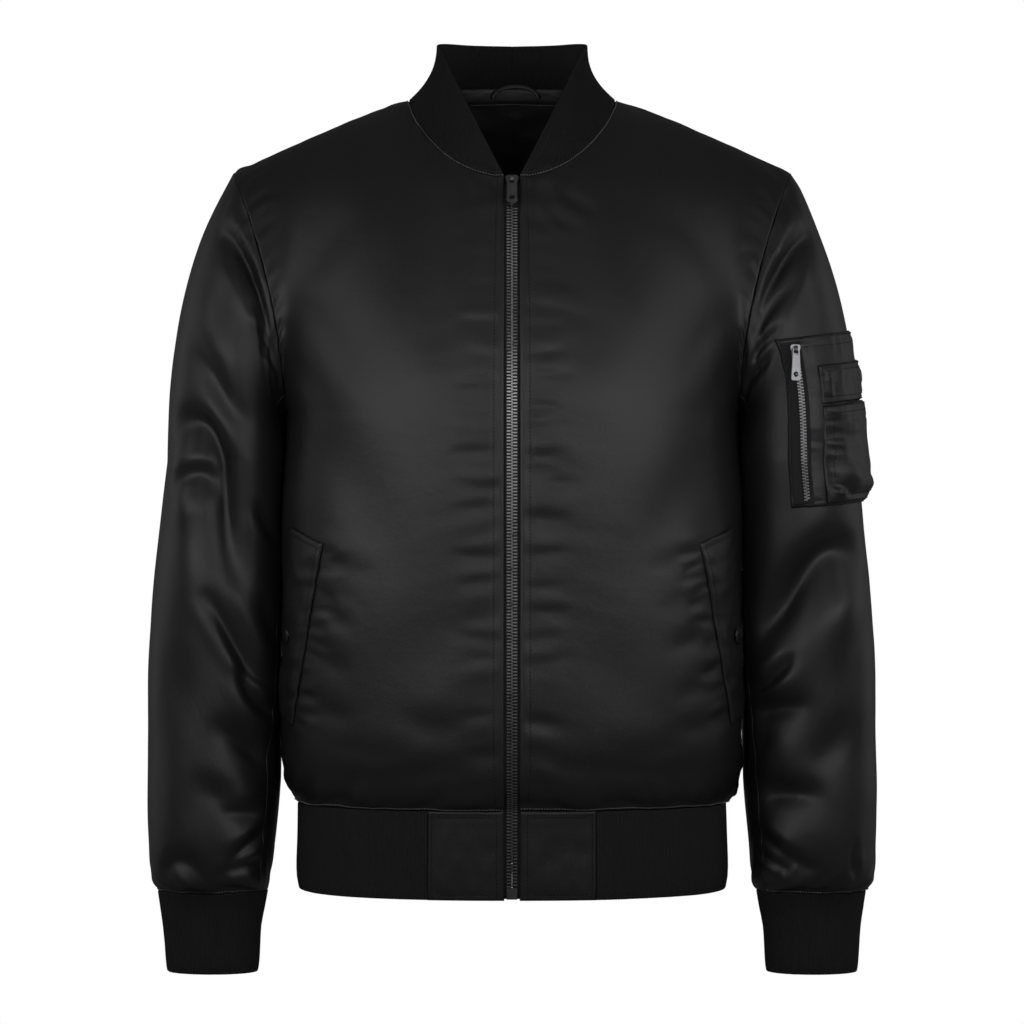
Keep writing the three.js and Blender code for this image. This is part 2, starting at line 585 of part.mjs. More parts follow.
// Hem rib and the satin tabs at its front ends
const TAB_ROUND = Math.asin(((TAB_X - ZIP_HALF_GAP) / (HEM[2].halfWidth - ZIP_HALF_GAP)) ** (HEM[2].square / 2))
  / QUARTER;
const HEM_ZS = [BOTTOM_Z, -645, -612, HEM_Z];
add('hem_rib', wall({
  on: hemSurface(), us: [...evenly(TAB_ROUND, 1, 8), ...evenly(1, 3, 20).slice(1, -1), ...evenly(3, 4 - TAB_ROUND, 8)],
  vs: HEM_ZS, inner: -RIB, trim: 'u0u1v1', level: 'v0v1',
}), KNIT);
for (const side of ['left', 'right']) {
  add(`hem_tab_${side}`, wall({
    on: onSide(hemSurface(), side), us: evenly(0, TAB_ROUND, 5), vs: HEM_ZS, inner: -SHELL,
    trim: 'u1v1', level: 'v0v1',
  }), SATIN);
}

// Collar
const NECK_TURNS = HALF_US.filter((u) => u <= NECK_SHARE).map((u) => (u / NECK_SHARE) * 90);
const HALF_TURNS = [...NECK_TURNS, ...NECK_TURNS.slice(0, -1).reverse().map((turn) => 180 - turn)];
const COLLAR_US = [...HALF_TURNS.slice(1).reverse().map((turn) => -turn), ...HALF_TURNS];
const COLLAR_VS = [0, 0.09, 0.22, 0.45, 0.72, 1];
add('collar', wall({ on: COLLAR, us: COLLAR_US, vs: COLLAR_VS, inner: -RIB, trim: 'v0' }), KNIT);

// Inside back of the neck: lining, the binding over the neck seam, and the loop the jacket hangs by
add('back_lining', wall({
  on: BACK, us: BACK_US.filter((w) => Math.abs(w) <= 0.3), vs: BODY_VS.filter((v) => v > 0.8 && v < 0.98),
  outer: -SHELL - LIE_GAP, inner: -SHELL - LIE_GAP - THIN,
}), LINING);
add('neck_binding', wall({
  on: COLLAR, us: COLLAR_US.filter((turn) => Math.abs(turn) < 80), vs: COLLAR_VS.slice(1, 3),
  outer: -RIB - LIE_GAP, inner: -RIB - LIE_GAP - THIN,
}), LINING);
const LOOP = { halfWidth: 21, height: 13, band: 4.5, middle: -3, above: 0.16 };
const arch = new THREE.Shape();
arch.absellipse(0, 0, LOOP.halfWidth, LOOP.height, 0, Math.PI, false);
arch.lineTo(-LOOP.halfWidth + LOOP.band, 0);
arch.absellipse(0, 0, LOOP.halfWidth - LOOP.band, LOOP.height - LOOP.band, Math.PI, 0, true);
const loop = new THREE.ExtrudeGeometry(arch, { depth: THIN, bevelEnabled: false, curveSegments: 12 });
add('hanger_loop', loop.translate(LOOP.middle, -LOOP.height / 2, 0), LINING,
  raisedBy(frameOn(COLLAR, 0, LOOP.above), -RIB - 3 * LIE_GAP - 4 * THIN));

// Front zip: a tape under each front, the row of teeth between them, slider, pull, stops and box
const ZIP_TOP = -75;
const BOX_TOP = -643;
const TEETH = { halfWidth: 4.3, front: -1.7, back: -4.6 };
const STOP_HEIGHT = 3.4;
const ZIP_ZS = [BOTTOM_Z + 1, -640, -612, -581, -571, -557, -538, -482, -415, -340, -290, -262, -240,
  -220, -200, -180, -160, -142, -126, -111, -97, -85, ZIP_TOP];
for (const side of ['left', 'right']) {
  add(`zip_tape_${side}`, wall({
    on: onSide(ZIP, side), us: [TEETH.halfWidth + SEAM_GAP, 15], vs: ZIP_ZS,
    outer: -SHELL - LIE_GAP, inner: -SHELL - LIE_GAP - THIN,
  }), WEBBING);
  add(`zip_stop_${side}`, new THREE.BoxGeometry(2, STOP_HEIGHT, 2.4), METAL,
    raisedBy(frameOn(ZIP, 4.1 * SIDE[side], ZIP_TOP + SEAM_GAP + STOP_HEIGHT / 2), -3.1));
}
add('zip_chain', wall({
  on: ZIP, us: [-TEETH.halfWidth, TEETH.halfWidth], vs: [BOX_TOP + SEAM_GAP, ...ZIP_ZS.slice(1)],
  outer: TEETH.front, inner: TEETH.back,
}), METAL);
add('zip_box', new THREE.BoxGeometry(8.6, BOX_TOP - BOTTOM_Z - 1, 4.2), METAL,
  raisedBy(frameOn(ZIP, 0, (BOX_TOP + BOTTOM_Z + 1) / 2), -2.6));

// A zip slider on its teeth. Its ring holds the pull tab by a bar, PULL_AXIS above the teeth.
const PLATE = 1.7;
const RING = { bore: 1.9, rim: 3.1, width: 2.2 };
const PULL_AXIS = PLATE + RING.bore;
function sliderGeometry(halfWidth, length) {
  const outline = new THREE.Shape();
  outline.moveTo(-halfWidth * 0.72, -length * 0.6);
  outline.lineTo(halfWidth * 0.72, -length * 0.6);
  outline.lineTo(halfWidth * 0.8, -length * 0.1);
  outline.lineTo(halfWidth, length * 0.15);
  outline.quadraticCurveTo(halfWidth, length * 0.4, halfWidth * 0.5, length * 0.4);
  outline.lineTo(-halfWidth * 0.5, length * 0.4);
  outline.quadraticCurveTo(-halfWidth, length * 0.4, -halfWidth, length * 0.15);
  outline.lineTo(-halfWidth * 0.8, -length * 0.1);
  const plate = new THREE.ExtrudeGeometry(outline, { depth: PLATE, bevelEnabled: false, curveSegments: 5 });
  const round = new THREE.Shape();
  round.absarc(0, 0, RING.rim, 0, 2 * Math.PI, false);
  const bore = new THREE.Path();
  bore.absarc(0, 0, RING.bore, 0, 2 * Math.PI, true);
  round.holes.push(bore);
  const ring = new THREE.ExtrudeGeometry(round, { depth: RING.width, bevelEnabled: false, curveSegments: 16 });
  ring.rotateY(QUARTER).translate(-RING.width / 2, 0, PULL_AXIS);
  return join(plate, ring);
}
// The tab lies along the zip from its bar: a window round the slider's ring, and a slot near its end.
function pullGeometry(halfWidth, length) {
  const BAR = 0.8;
  const outline = new THREE.Shape();
  outline.moveTo(-halfWidth * 0.72, BAR);
  outline.lineTo(-halfWidth, -length + halfWidth * 0.5);
  outline.quadraticCurveTo(-halfWidth, -length, -halfWidth * 0.5, -length);
  outline.lineTo(halfWidth * 0.5, -length);
  outline.quadraticCurveTo(halfWidth, -length, halfWidth, -length + halfWidth * 0.5);
  outline.lineTo(halfWidth * 0.72, BAR);
  const reach = RING.width / 2 + 0.7;
  const window = new THREE.Path();
  window.moveTo(-reach, -BAR);
  window.lineTo(reach, -BAR);
  window.lineTo(reach, -RING.rim - 1.4);
  window.lineTo(-reach, -RING.rim - 1.4);
  const slot = new THREE.Path();
  slot.absellipse(0, -length * 0.8, halfWidth * 0.5, length * 0.09, 0, 2 * Math.PI, true);
  outline.holes.push(window, slot);
  return new THREE.ExtrudeGeometry(outline, { depth: THIN, bevelEnabled: false, curveSegments: 8 })
    .translate(0, 0, -THIN / 2);
}
const SLIDER_Z = -75;
const sliderFrame = raisedBy(frameOn(ZIP, 0, SLIDER_Z), TEETH.front + SEAM_GAP);
add('zip_slider', sliderGeometry(5.3, 13), METAL, sliderFrame);
add('zip_pull', pullGeometry(4.4, 23), METAL, raisedBy(sliderFrame, PULL_AXIS));

// Hand pocket flaps, each sewn down along its inner edge, with a snap
function flapPlace(out, along) {
  const z = lerp(FLAP.topZ, FLAP.bottomZ, along) + FLAP.rise * out;
  const x = lerp(FLAP.topX, FLAP.bottomX, along);
  const v = ((z - HEM_Z) / (UNDERARM_Z - HEM_Z)) * UNDERARM_V;
  const share = (x - ZIP_HALF_GAP) / (read(TRUNK, 'halfWidth', z) - ZIP_HALF_GAP);
  let u = Math.asin(share ** (read(TRUNK, 'square', z) / 2)) / QUARTER;
  const STEPS = 16;
  for (let k = 0; k < STEPS; k++) {
    const speed = FRONT.left.at(u + 0.001, v).distanceTo(FRONT.left.at(u, v)) / 0.001;
    u += (FLAP.width * out) / STEPS / speed;
  }
  return [u, v];
}
function snapGeometry(radius) {
  const profile = [[0, 0], [radius, 0], [radius, 0.7], [radius * 0.86, 1.7], [radius * 0.5, 2.3], [0, 2.5]];
  return new THREE.LatheGeometry(profile.map(([r, h]) => new THREE.Vector2(r, h)), 16).rotateX(QUARTER);
}
for (const side of ['left', 'right']) {
  const panel = faceted(FRONT[side], HALF_US, BODY_VS);
  const at = (out, rise) => panel.at(...flapPlace(out, 1 - rise));
  const normal = (out, rise) => normalAt(FRONT[side], ...flapPlace(out, 1 - rise));
  const flap = { ...surface(at, SIDE[side], [0.02, 0.01], [0, 1, 0, 1]), normal };
  add(`pocket_flap_${side}`, wall({
    on: flap, us: evenly(0, 1, 5), vs: evenly(0, 1, 8), outer: POCKET_GAP + 1.8, inner: POCKET_GAP,
  }), SATIN);
  add(`pocket_snap_${side}`, snapGeometry(SNAP_RADIUS), METAL,
    raisedBy(frameOn(flap, FLAP.snapOut, 1 - FLAP.snapAlong), POCKET_GAP + 1.8 + LIE_GAP + 0.3));
}

// Pockets on the left sleeve: a flat one with a slanted zip, and over its outer half a pen pocket with a
// narrow flap above a bag that stands out
function patchPlace(out, rise) {
  const turn = (lerp(PATCH.frontStep, PATCH.outerStep, out) * Math.PI) / ARM_STEPS;
  const z = lerp(lerp(PATCH.lowerFront, PATCH.lowerOuter, out), lerp(PATCH.upperFront, PATCH.upperOuter, out), rise);
  let low = 0;
  let high = SLEEVE_LENGTH;
  const HALVINGS = 24;
  for (let k = 0; k < HALVINGS; k++) {
    const middle = (low + high) / 2;
    if (sleevePoint(turn, middle).z > z) low = middle;
    else high = middle;
  }
  return [turn, low];
}
const SLEEVE_FACETS = faceted(SLEEVES.left, turns(-7, 9), DOWNS);
const PATCH_ON = {
  ...surface((out, rise) => SLEEVE_FACETS.at(...patchPlace(out, rise)), 1, [0.02, 0.02], [0, 1, 0, 1]),
  normal: (out, rise) => normalAt(SLEEVES.left, ...patchPlace(out, rise)),
};
const PATCH_US = [...evenly(0, 1, 2 * (PATCH.frontStep - PATCH.outerStep)), PEN_BAG.from].sort();
const PATCH_VS = [0, 0.15, 0.3, 0.45, PEN_FLAP.foot, 0.71, PEN_FLAP.head, 0.91, 1];
const PATCH_GAP = 1.5;
const PATCH_TOP = PATCH_GAP + THIN;
const OVER_PATCH = PATCH_TOP + LIE_GAP;
const ON_PATCH = faceted(PATCH_ON, PATCH_US, PATCH_VS);
const within = (stations, from, to) => [from, ...stations.filter((k) => k > from && k < to), to];
add('sleeve_patch', wall({
  on: PATCH_ON, us: PATCH_US, vs: PATCH_VS, outer: PATCH_TOP, inner: PATCH_GAP,
}), SATIN);
const FLAP_TOP = OVER_PATCH + 1.8;
add('pen_flap', wall({
  on: ON_PATCH, us: within(PATCH_US, PEN_FLAP.from, PEN_FLAP.to), vs: within(PATCH_VS, PEN_FLAP.foot, PEN_FLAP.head),
  outer: FLAP_TOP, inner: OVER_PATCH,
}), SATIN);
add('pen_snap', snapGeometry(SNAP_RADIUS), METAL,
  raisedBy(frameOn(ON_PATCH, PEN_SNAP.out, PEN_SNAP.rise), FLAP_TOP + POCKET_GAP));
// The bag swells away from its sewn edges and hangs fullest near its foot.
const swell = (out, rise) => OVER_PATCH + PEN_BAG.edge
  + PEN_BAG.stand * smoothstep(Math.min(out, 1 - out), 0, 0.2) * smoothstep(rise, 0, 0.2) * (1 - 0.7 * rise);
add('pen_bag', wall({
  on: ON_PATCH, us: within([...PATCH_US, 0.32, 0.95].sort(), PEN_BAG.from, PEN_BAG.to),
  vs: [PEN_BAG.foot, 0.06, 0.15, 0.3, 0.45, PEN_BAG.head], outer: swell, inner: OVER_PATCH,
}), SATIN);

// Sleeve zip
const TAPE_TOP = OVER_PATCH + 0.7;
add('sleeve_zip_tape', wall({
  on: ON_PATCH, us: within(PATCH_US, ZIP_TAPE.from, ZIP_TAPE.to), vs: within(PATCH_VS, ZIP_TAPE.foot, ZIP_TAPE.head),
  outer: TAPE_TOP, inner: OVER_PATCH,
}), WEBBING);
const SLEEVE_TEETH_TOP = TAPE_TOP + LIE_GAP + 1.3;
add('sleeve_zip_chain', wall({
  on: ON_PATCH, us: [SLEEVE_ZIP.at - SLEEVE_ZIP.halfWidth, SLEEVE_ZIP.at, SLEEVE_ZIP.at + SLEEVE_ZIP.halfWidth],
  vs: within(PATCH_VS, SLEEVE_ZIP.foot, SLEEVE_ZIP.head), outer: SLEEVE_TEETH_TOP, inner: TAPE_TOP + LIE_GAP,
}), METAL);
const sleeveSliderFrame = raisedBy(frameOn(PATCH_ON, SLEEVE_ZIP.at, SLEEVE_ZIP.slider), SLEEVE_TEETH_TOP + 0.5);
add('sleeve_zip_slider', sliderGeometry(4.3, 10), METAL, sleeveSliderFrame);
add('sleeve_zip_pull', pullGeometry(3.9, 25), METAL, raisedBy(sleeveSliderFrame, PULL_AXIS));

export default jacket;
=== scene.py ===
import bpy
import numpy as np
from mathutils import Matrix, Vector


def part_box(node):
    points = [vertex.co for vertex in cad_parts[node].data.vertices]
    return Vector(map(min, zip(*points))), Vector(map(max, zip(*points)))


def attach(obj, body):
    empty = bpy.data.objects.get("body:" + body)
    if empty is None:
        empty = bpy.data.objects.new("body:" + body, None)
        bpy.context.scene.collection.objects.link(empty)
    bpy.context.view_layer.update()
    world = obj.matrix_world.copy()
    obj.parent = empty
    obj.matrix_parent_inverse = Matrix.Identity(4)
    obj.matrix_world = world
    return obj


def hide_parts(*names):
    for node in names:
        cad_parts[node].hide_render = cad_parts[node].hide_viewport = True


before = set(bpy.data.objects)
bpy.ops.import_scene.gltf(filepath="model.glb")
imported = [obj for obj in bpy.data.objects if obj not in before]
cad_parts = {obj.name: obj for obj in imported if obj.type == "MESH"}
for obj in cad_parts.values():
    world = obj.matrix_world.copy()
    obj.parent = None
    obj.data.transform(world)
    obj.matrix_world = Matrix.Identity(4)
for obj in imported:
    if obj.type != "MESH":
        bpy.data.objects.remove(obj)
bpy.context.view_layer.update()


# Front panels: black satin over light wadding, each cut from the hem seam to the shoulder and sewn to the
# zip, the side seam and the armhole. The seams gather the cloth into puckers, and the body hangs from the
# shoulders in wide soft folds.
QUARTER = np.pi / 2
HEM_SEAM = -581.0  # heights of the hem seam and the underarm
UNDERARM = -262.0
UNDERARM_X = 186.0
UNDERARM_SHARE = 0.62  # share of a panel's height below the underarm
NECK_SHARE = 0.36  # share of its top edge that is neckline
ZIP_EDGE = 6.2  # centre line to the folded edge of each front
NECK_X = 86.0  # centre line to the point where the shoulder seam meets the collar
NECK_FRONT = (-90.0, -70.6)  # depth and height of the neckline at the centre
NECK_BACK = (60.0, 8.0)
SHOULDER_Y = 4.0  # depth of the shoulder seam, and the reach and height of its tip
SHOULDER_TIP = (231.0, -60.0)
ARMHOLE = {"middle": -161, "half": 101, "front": 64, "back": 58}
SHELL = 2.4  # satin, wadding and lining together
PLACKET_STITCH = 14.5  # centre line to the stitches beside the zip


def columns(names, rows):
    """A table as one array for each of its named columns."""
    return dict(zip(names.split(), np.array(rows, float).T))


TRUNK = columns("z half_width front back square", [
    (-581, 178, 116, 106, 2.3),
    (-566, 186.5, 128, 117, 2.4),
    (-545, 190, 134, 122, 2.5),
    (-500, 191, 137, 123, 2.5),
    (-400, 190, 136, 119, 2.5),
    (-330, 190, 137, 119, 2.5),
    (-262, 186, 138, 121, 2.5),
])


def curve(rows, name, at, key="z"):
    """A column at a value of the key column: between two rows a cubic whose slope at each row is that of
    the line from the row before it to the row after it, and level beyond the ends."""
    x = rows[key]
    y = rows[name]
    slope = np.gradient(y)
    slope[1:-1] = (y[2:] - y[:-2]) / (x[2:] - x[:-2])
    slope[0] = (y[1] - y[0]) / (x[1] - x[0])
    slope[-1] = (y[-1] - y[-2]) / (x[-1] - x[-2])
    at = np.clip(at, x[0], x[-1])
    i = np.clip(np.searchsorted(x, at, side="right") - 1, 0, len(x) - 2)
    span = x[i + 1] - x[i]
    t = (at - x[i]) / span
    return ((2 * t**3 - 3 * t**2 + 1) * y[i] + (3 * t**2 - 2 * t**3) * y[i + 1]
            + (t**3 - 2 * t**2 + t) * slope[i] * span + (t**3 - t**2) * slope[i + 1] * span)


def mix(low, high, share):
    """The value a share of the way from low to high."""
    return low + (high - low) * share


def ease(value, low, high):
    """0 below low, 1 above high, and the smooth step 3t^2 - 2t^3 between them."""
    t = np.clip((value - low) / (high - low), 0, 1)
    return t * t * (3 - 2 * t)


def places(x, y, z):
    """Points from three arrays or numbers, stacked on a last axis."""
    return np.stack(np.broadcast_arrays(x, y, z), -1).astype(float)


def body_ring(rows, face, u, z):
    """A quarter of a level ring: x and y follow sine and cosine of the turn to the power 2/square."""
    power = 2 / curve(rows, "square", z)
    inner = ZIP_EDGE if face == "front" else 0
    x = mix(inner, curve(rows, "half_width", z), np.sin(u * QUARTER) ** power)
    y = curve(rows, face, z) * np.maximum(np.cos(u * QUARTER), 0) ** power
    return places(x, -y if face == "front" else y, z)


def armhole(turn):
    """The armhole seam: z follows the cosine of the turn and y its sine; x grows outwards as the seam
    rises to the shoulder. Turn 0 is the shoulder, a quarter turn the front, half a turn the underarm."""
    z = ARMHOLE["middle"] + ARMHOLE["half"] * np.cos(turn)
    rise = np.clip((z - UNDERARM) / (SHOULDER_TIP[1] - UNDERARM), 0, 1)
    reach = np.where(np.sin(turn) > 0, ARMHOLE["front"], ARMHOLE["back"])
    return places(mix(UNDERARM_X, SHOULDER_TIP[0], rise**1.9), SHOULDER_Y * rise - reach * np.sin(turn), z)


def neckline(centre, inner, turn):
    """The neckline from its centre to the shoulder: a quarter ellipse from above that climbs as cos^1.4."""
    c = np.maximum(np.cos(turn), 0)
    return places(mix(inner, NECK_X, np.sin(turn)), mix(SHOULDER_Y, centre[0], c), centre[1] * c**1.4)


def body_half(face, u, v):
    """Half of the front or back: level rings up to the underarm; above it the ring is carried up to the
    neckline and shoulder along quarter sines, and its side edge is drawn onto the armhole as u^4."""
    u, v = np.broadcast_arrays(u, v)
    z = mix(HEM_SEAM, UNDERARM, np.minimum(v / UNDERARM_SHARE, 1))
    t = np.clip((v - UNDERARM_SHARE) / (1 - UNDERARM_SHARE), 0, 1)
    is_front = face == "front"
    centre = NECK_FRONT if is_front else NECK_BACK
    depth = (-1 if is_front else 1) * curve(TRUNK, face, UNDERARM)
    low = body_ring(TRUNK, face, u, np.full(u.shape, UNDERARM))
    top = neckline(centre, ZIP_EDGE if is_front else 0, np.minimum(u / NECK_SHARE, 1) * QUARTER)
    k = np.clip((u - NECK_SHARE) / (1 - NECK_SHARE), 0, 1)
    shoulder = places(mix(NECK_X, SHOULDER_TIP[0], k), SHOULDER_Y, SHOULDER_TIP[1] * k**1.12)
    high = np.where((u < NECK_SHARE)[..., None], top, shoulder)
    stay = np.cos(t * QUARTER)
    down = 1 - np.sin(t * QUARTER)
    side = u**4
    edge = armhole(np.pi * (1 - t) if is_front else np.pi * (1 + t))
    centre_y = mix(depth, centre[0], np.sin(t * QUARTER) ** 2.3) - mix(centre[0], depth, stay)
    upper = places(
        mix(high[..., 0], low[..., 0], stay)
        + side * (edge[..., 0] - mix(SHOULDER_TIP[0], UNDERARM_X, stay)),
        mix(high[..., 1], low[..., 1], stay) + (1 - side) * centre_y
        + side * (edge[..., 1] - mix(SHOULDER_Y, 0, stay)),
        mix(high[..., 2], low[..., 2], down)
        + side * (edge[..., 2] - mix(SHOULDER_TIP[1], UNDERARM, down)),
    )
    return np.where((v <= UNDERARM_SHARE)[..., None], body_ring(TRUNK, face, u, z), upper)


def run_along(points, axis):
    """Distance along a grid's rows (axis 1) or columns (axis 0), summed from its first edge."""
    steps = np.linalg.norm(np.diff(points, axis=axis), axis=2)
    return np.insert(np.cumsum(steps, axis=axis), 0, 0, axis=axis)


def path_run(path):
    """Distance along a single path of points, from its start."""
    return run_along(path[:, None], 0)[:, 0]


def along_path(path, run, at):
    """Points at distances along a path, joined by straight lines."""
    return np.stack([np.interp(at, run, column) for column in path.T], 1)


def unit(vectors):
    """Vectors scaled to a length of 1."""
    return vectors / np.maximum(np.linalg.norm(vectors, axis=-1, keepdims=True), 1e-9)


def spaced(path, step):
    """Shares of a path, by its own parameter, that lie a step apart along it and closer beside both ends,
    where a wall rounds its edge. The number of spans is a multiple of four."""
    run = path_run(path)
    edge = np.array([0.0, 0.4, 1.0, 1.8, 2.8])
    count = int(np.ceil((run[-1] - 2 * edge[-1]) / step))
    count += -count % 4
    middle = np.linspace(edge[-1], run[-1] - edge[-1], count + 1)
    at = np.concatenate([edge[:-1], middle, run[-1] - edge[:-1][::-1]])
    return np.interp(at, run, np.linspace(0, 1, len(path)))


def outwards(points, out, closed=False):
    """Unit normals of a grid: slope along the rows crossed with slope along the columns."""
    along_u = np.gradient(points, axis=1)
    if closed:
        along_u = np.roll(points, -1, axis=1) - np.roll(points, 1, axis=1)
    return unit(np.cross(along_u, np.gradient(points, axis=0)) * out)


def edge_distances(points):
    """Distance of each grid point from each edge: u0 and u1 end the rows, v0 and v1 the columns."""
    across = run_along(points, 1)
    down = run_along(points, 0)
    return {"u0": across, "u1": across[:, -1:] - across, "v0": down, "v1": down[-1:] - down}


def rim_distance(points):
    """Distance of each grid point from the nearest edge."""
    return np.min(list(edge_distances(points).values()), axis=0)


def swell(x, y, seed):
    """Uneven ups and downs from about -1 to 1, one step of x and y apart: random heights at whole numbers
    joined by the step 6t^5 - 15t^4 + 10t^3, summed over two lattices turned against each other."""
    total = 0
    for k, angle in enumerate((0.35, 1.4)):
        heights = np.random.default_rng(seed * 7 + k).uniform(-1, 1, (97, 97))
        a = x * np.cos(angle) + y * np.sin(angle) + 400
        b = y * np.cos(angle) - x * np.sin(angle) + 400
        i = np.floor(a).astype(int)
        j = np.floor(b).astype(int)
        s = (a - i) ** 3 * (6 * (a - i) ** 2 - 15 * (a - i) + 10)
        t = (b - j) ** 3 * (6 * (b - j) ** 2 - 15 * (b - j) + 10)
        low = mix(heights[i % 97, j % 97], heights[(i + 1) % 97, j % 97], s)
        high = mix(heights[i % 97, (j + 1) % 97], heights[(i + 1) % 97, (j + 1) % 97], s)
        total = total + mix(low, high, t)
    return total * 0.8


def folds(rows, x, y):
    """Rise of listed folds. A fold follows a smooth line through its points. That line, and lines beside it,
    are blurred by bells exp(-(d/broad)^2), which rounds their bends, and summed: a trough 0.7 of the depth,
    a second trough towards the side with the larger share, where the cloth rises more gently, and a ridge on
    each side, by the shares left and right of 0.6 of the depth. With equal shares both troughs lie on the
    line. A fold dies away to both ends as a half sine to the power 0.7."""
    rise = np.zeros(x.shape)
    for points, width, depth, left, right in rows:
        way = np.array(points, float)
        knots = {"t": np.arange(len(way)), "x": way[:, 0], "y": way[:, 1]}
        t = np.linspace(0, len(way) - 1, 200)
        line = np.stack([curve(knots, "x", t, "t"), curve(knots, "y", t, "t")], 1)
        run = path_run(line)
        at = np.linspace(0, run[-1], max(8, int(run[-1] / (0.55 * width))))
        line = along_path(line, run, at)
        step = unit(np.gradient(line, axis=0))
        taper = np.sin(np.pi * np.clip(at / run[-1], 0.001, 0.999)) ** 0.7 * (at[1] - at[0])
        aside = np.stack([-step[:, 1], step[:, 0]], 1) * 2.1 * width
        reach = 7 * width
        near = ((x > line[:, 0].min() - reach) & (x < line[:, 0].max() + reach)
                & (y > line[:, 1].min() - reach) & (y < line[:, 1].max() + reach))
        px = x[near][:, None]
        py = y[near][:, None]
        gentle = np.sign(right - left)
        bells = [
            (-0.7, line, width),
            (-0.45 if gentle else -0.3, line + 0.55 * gentle * aside, 1.9 * width if gentle else width),
            (0.6 * right, line + aside * (1.5 if gentle > 0 else 1), (2.0 if gentle > 0 else 1.2) * width),
            (0.6 * left, line - aside * (1.5 if gentle < 0 else 1), (2.0 if gentle < 0 else 1.2) * width),
        ]
        for share, middle, broad in bells:
            bell = np.exp(-((px - middle[:, 0]) ** 2 + (py - middle[:, 1]) ** 2) / broad**2)
            rise[near] += depth * share * (bell @ taper) / (broad * np.sqrt(np.pi))
    return rise


def gathers(points, edge, size, height, seed, reach):
    """Small puckers that start at a seam: ups and downs of the given size along it, at their highest one
    reach from the seam and dying away beyond, as d/reach * exp(1 - d/reach)."""
    away = edge_distances(points)[edge] / reach
    along = run_along(points, 0 if edge[0] == "u" else 1)
    wave = swell(along / size + away * 0.25, away / 4, seed)
    return height * wave * away * np.exp(1 - away)


def eased_panel(points, us, vs):
    """The panel with the crease that would run down from the corner of the neckline smoothed away: near
    that line, each point moves 120 times a quarter of the way to the middle of its two neighbours."""
    near = np.exp(-(((np.abs(us)[None, :] - NECK_SHARE) / 0.13) ** 2))
    near = near * ease(vs, 0.6, 0.68)[:, None] * ease(1 - vs, 0.002, 0.06)[:, None]
    points = points.copy()
    for _ in range(120):
        pull = points[:, 2:] + points[:, :-2] - 2 * points[:, 1:-1]
        points[:, 1:-1] += 0.25 * near[:, 1:-1, None] * pull
    return points


def raised(points, out, rise):
    """The grid moved along its normals by rise."""
    return points + outwards(points, out) * rise[..., None]


def mesh_of(name, points, faces, cloth, marks=None):
    """A smooth mesh from points in millimetres and lists of faces, with the cloth's own distances across
    and down, in metres, as its UV map."""
    mesh = bpy.data.meshes.new(name)
    corners = np.concatenate([face.ravel() for face in faces]).astype(np.int32)
    sizes = np.concatenate([np.full(len(face), face.shape[1]) for face in faces])
    mesh.vertices.add(len(points))
    mesh.vertices.foreach_set("co", (points / 1000).astype(np.float32).ravel())
    mesh.loops.add(len(corners))
    mesh.loops.foreach_set("vertex_index", corners)
    mesh.polygons.add(len(sizes))
    mesh.polygons.foreach_set("loop_start", (np.cumsum(sizes) - sizes).astype(np.int32))
    if marks is not None:
        mesh.polygons.foreach_set("material_index", marks.astype(np.int32))
    mesh.update(calc_edges=True)
    mesh.validate()
    layer = mesh.uv_layers.new(name="cloth")
    layer.data.foreach_set("uv", (cloth[corners] / 1000).astype(np.float32).ravel())
    mesh.shade_smooth()
    made = bpy.data.objects.new(name, mesh)
    bpy.context.scene.collection.objects.link(made)
    return made


def dropped(away, depth, width):
    """How far a rounded edge falls: a quarter ellipse of that depth and width."""
    return depth * (1 - np.sqrt(1 - np.clip(1 - away / width, 0, 1) ** 2))


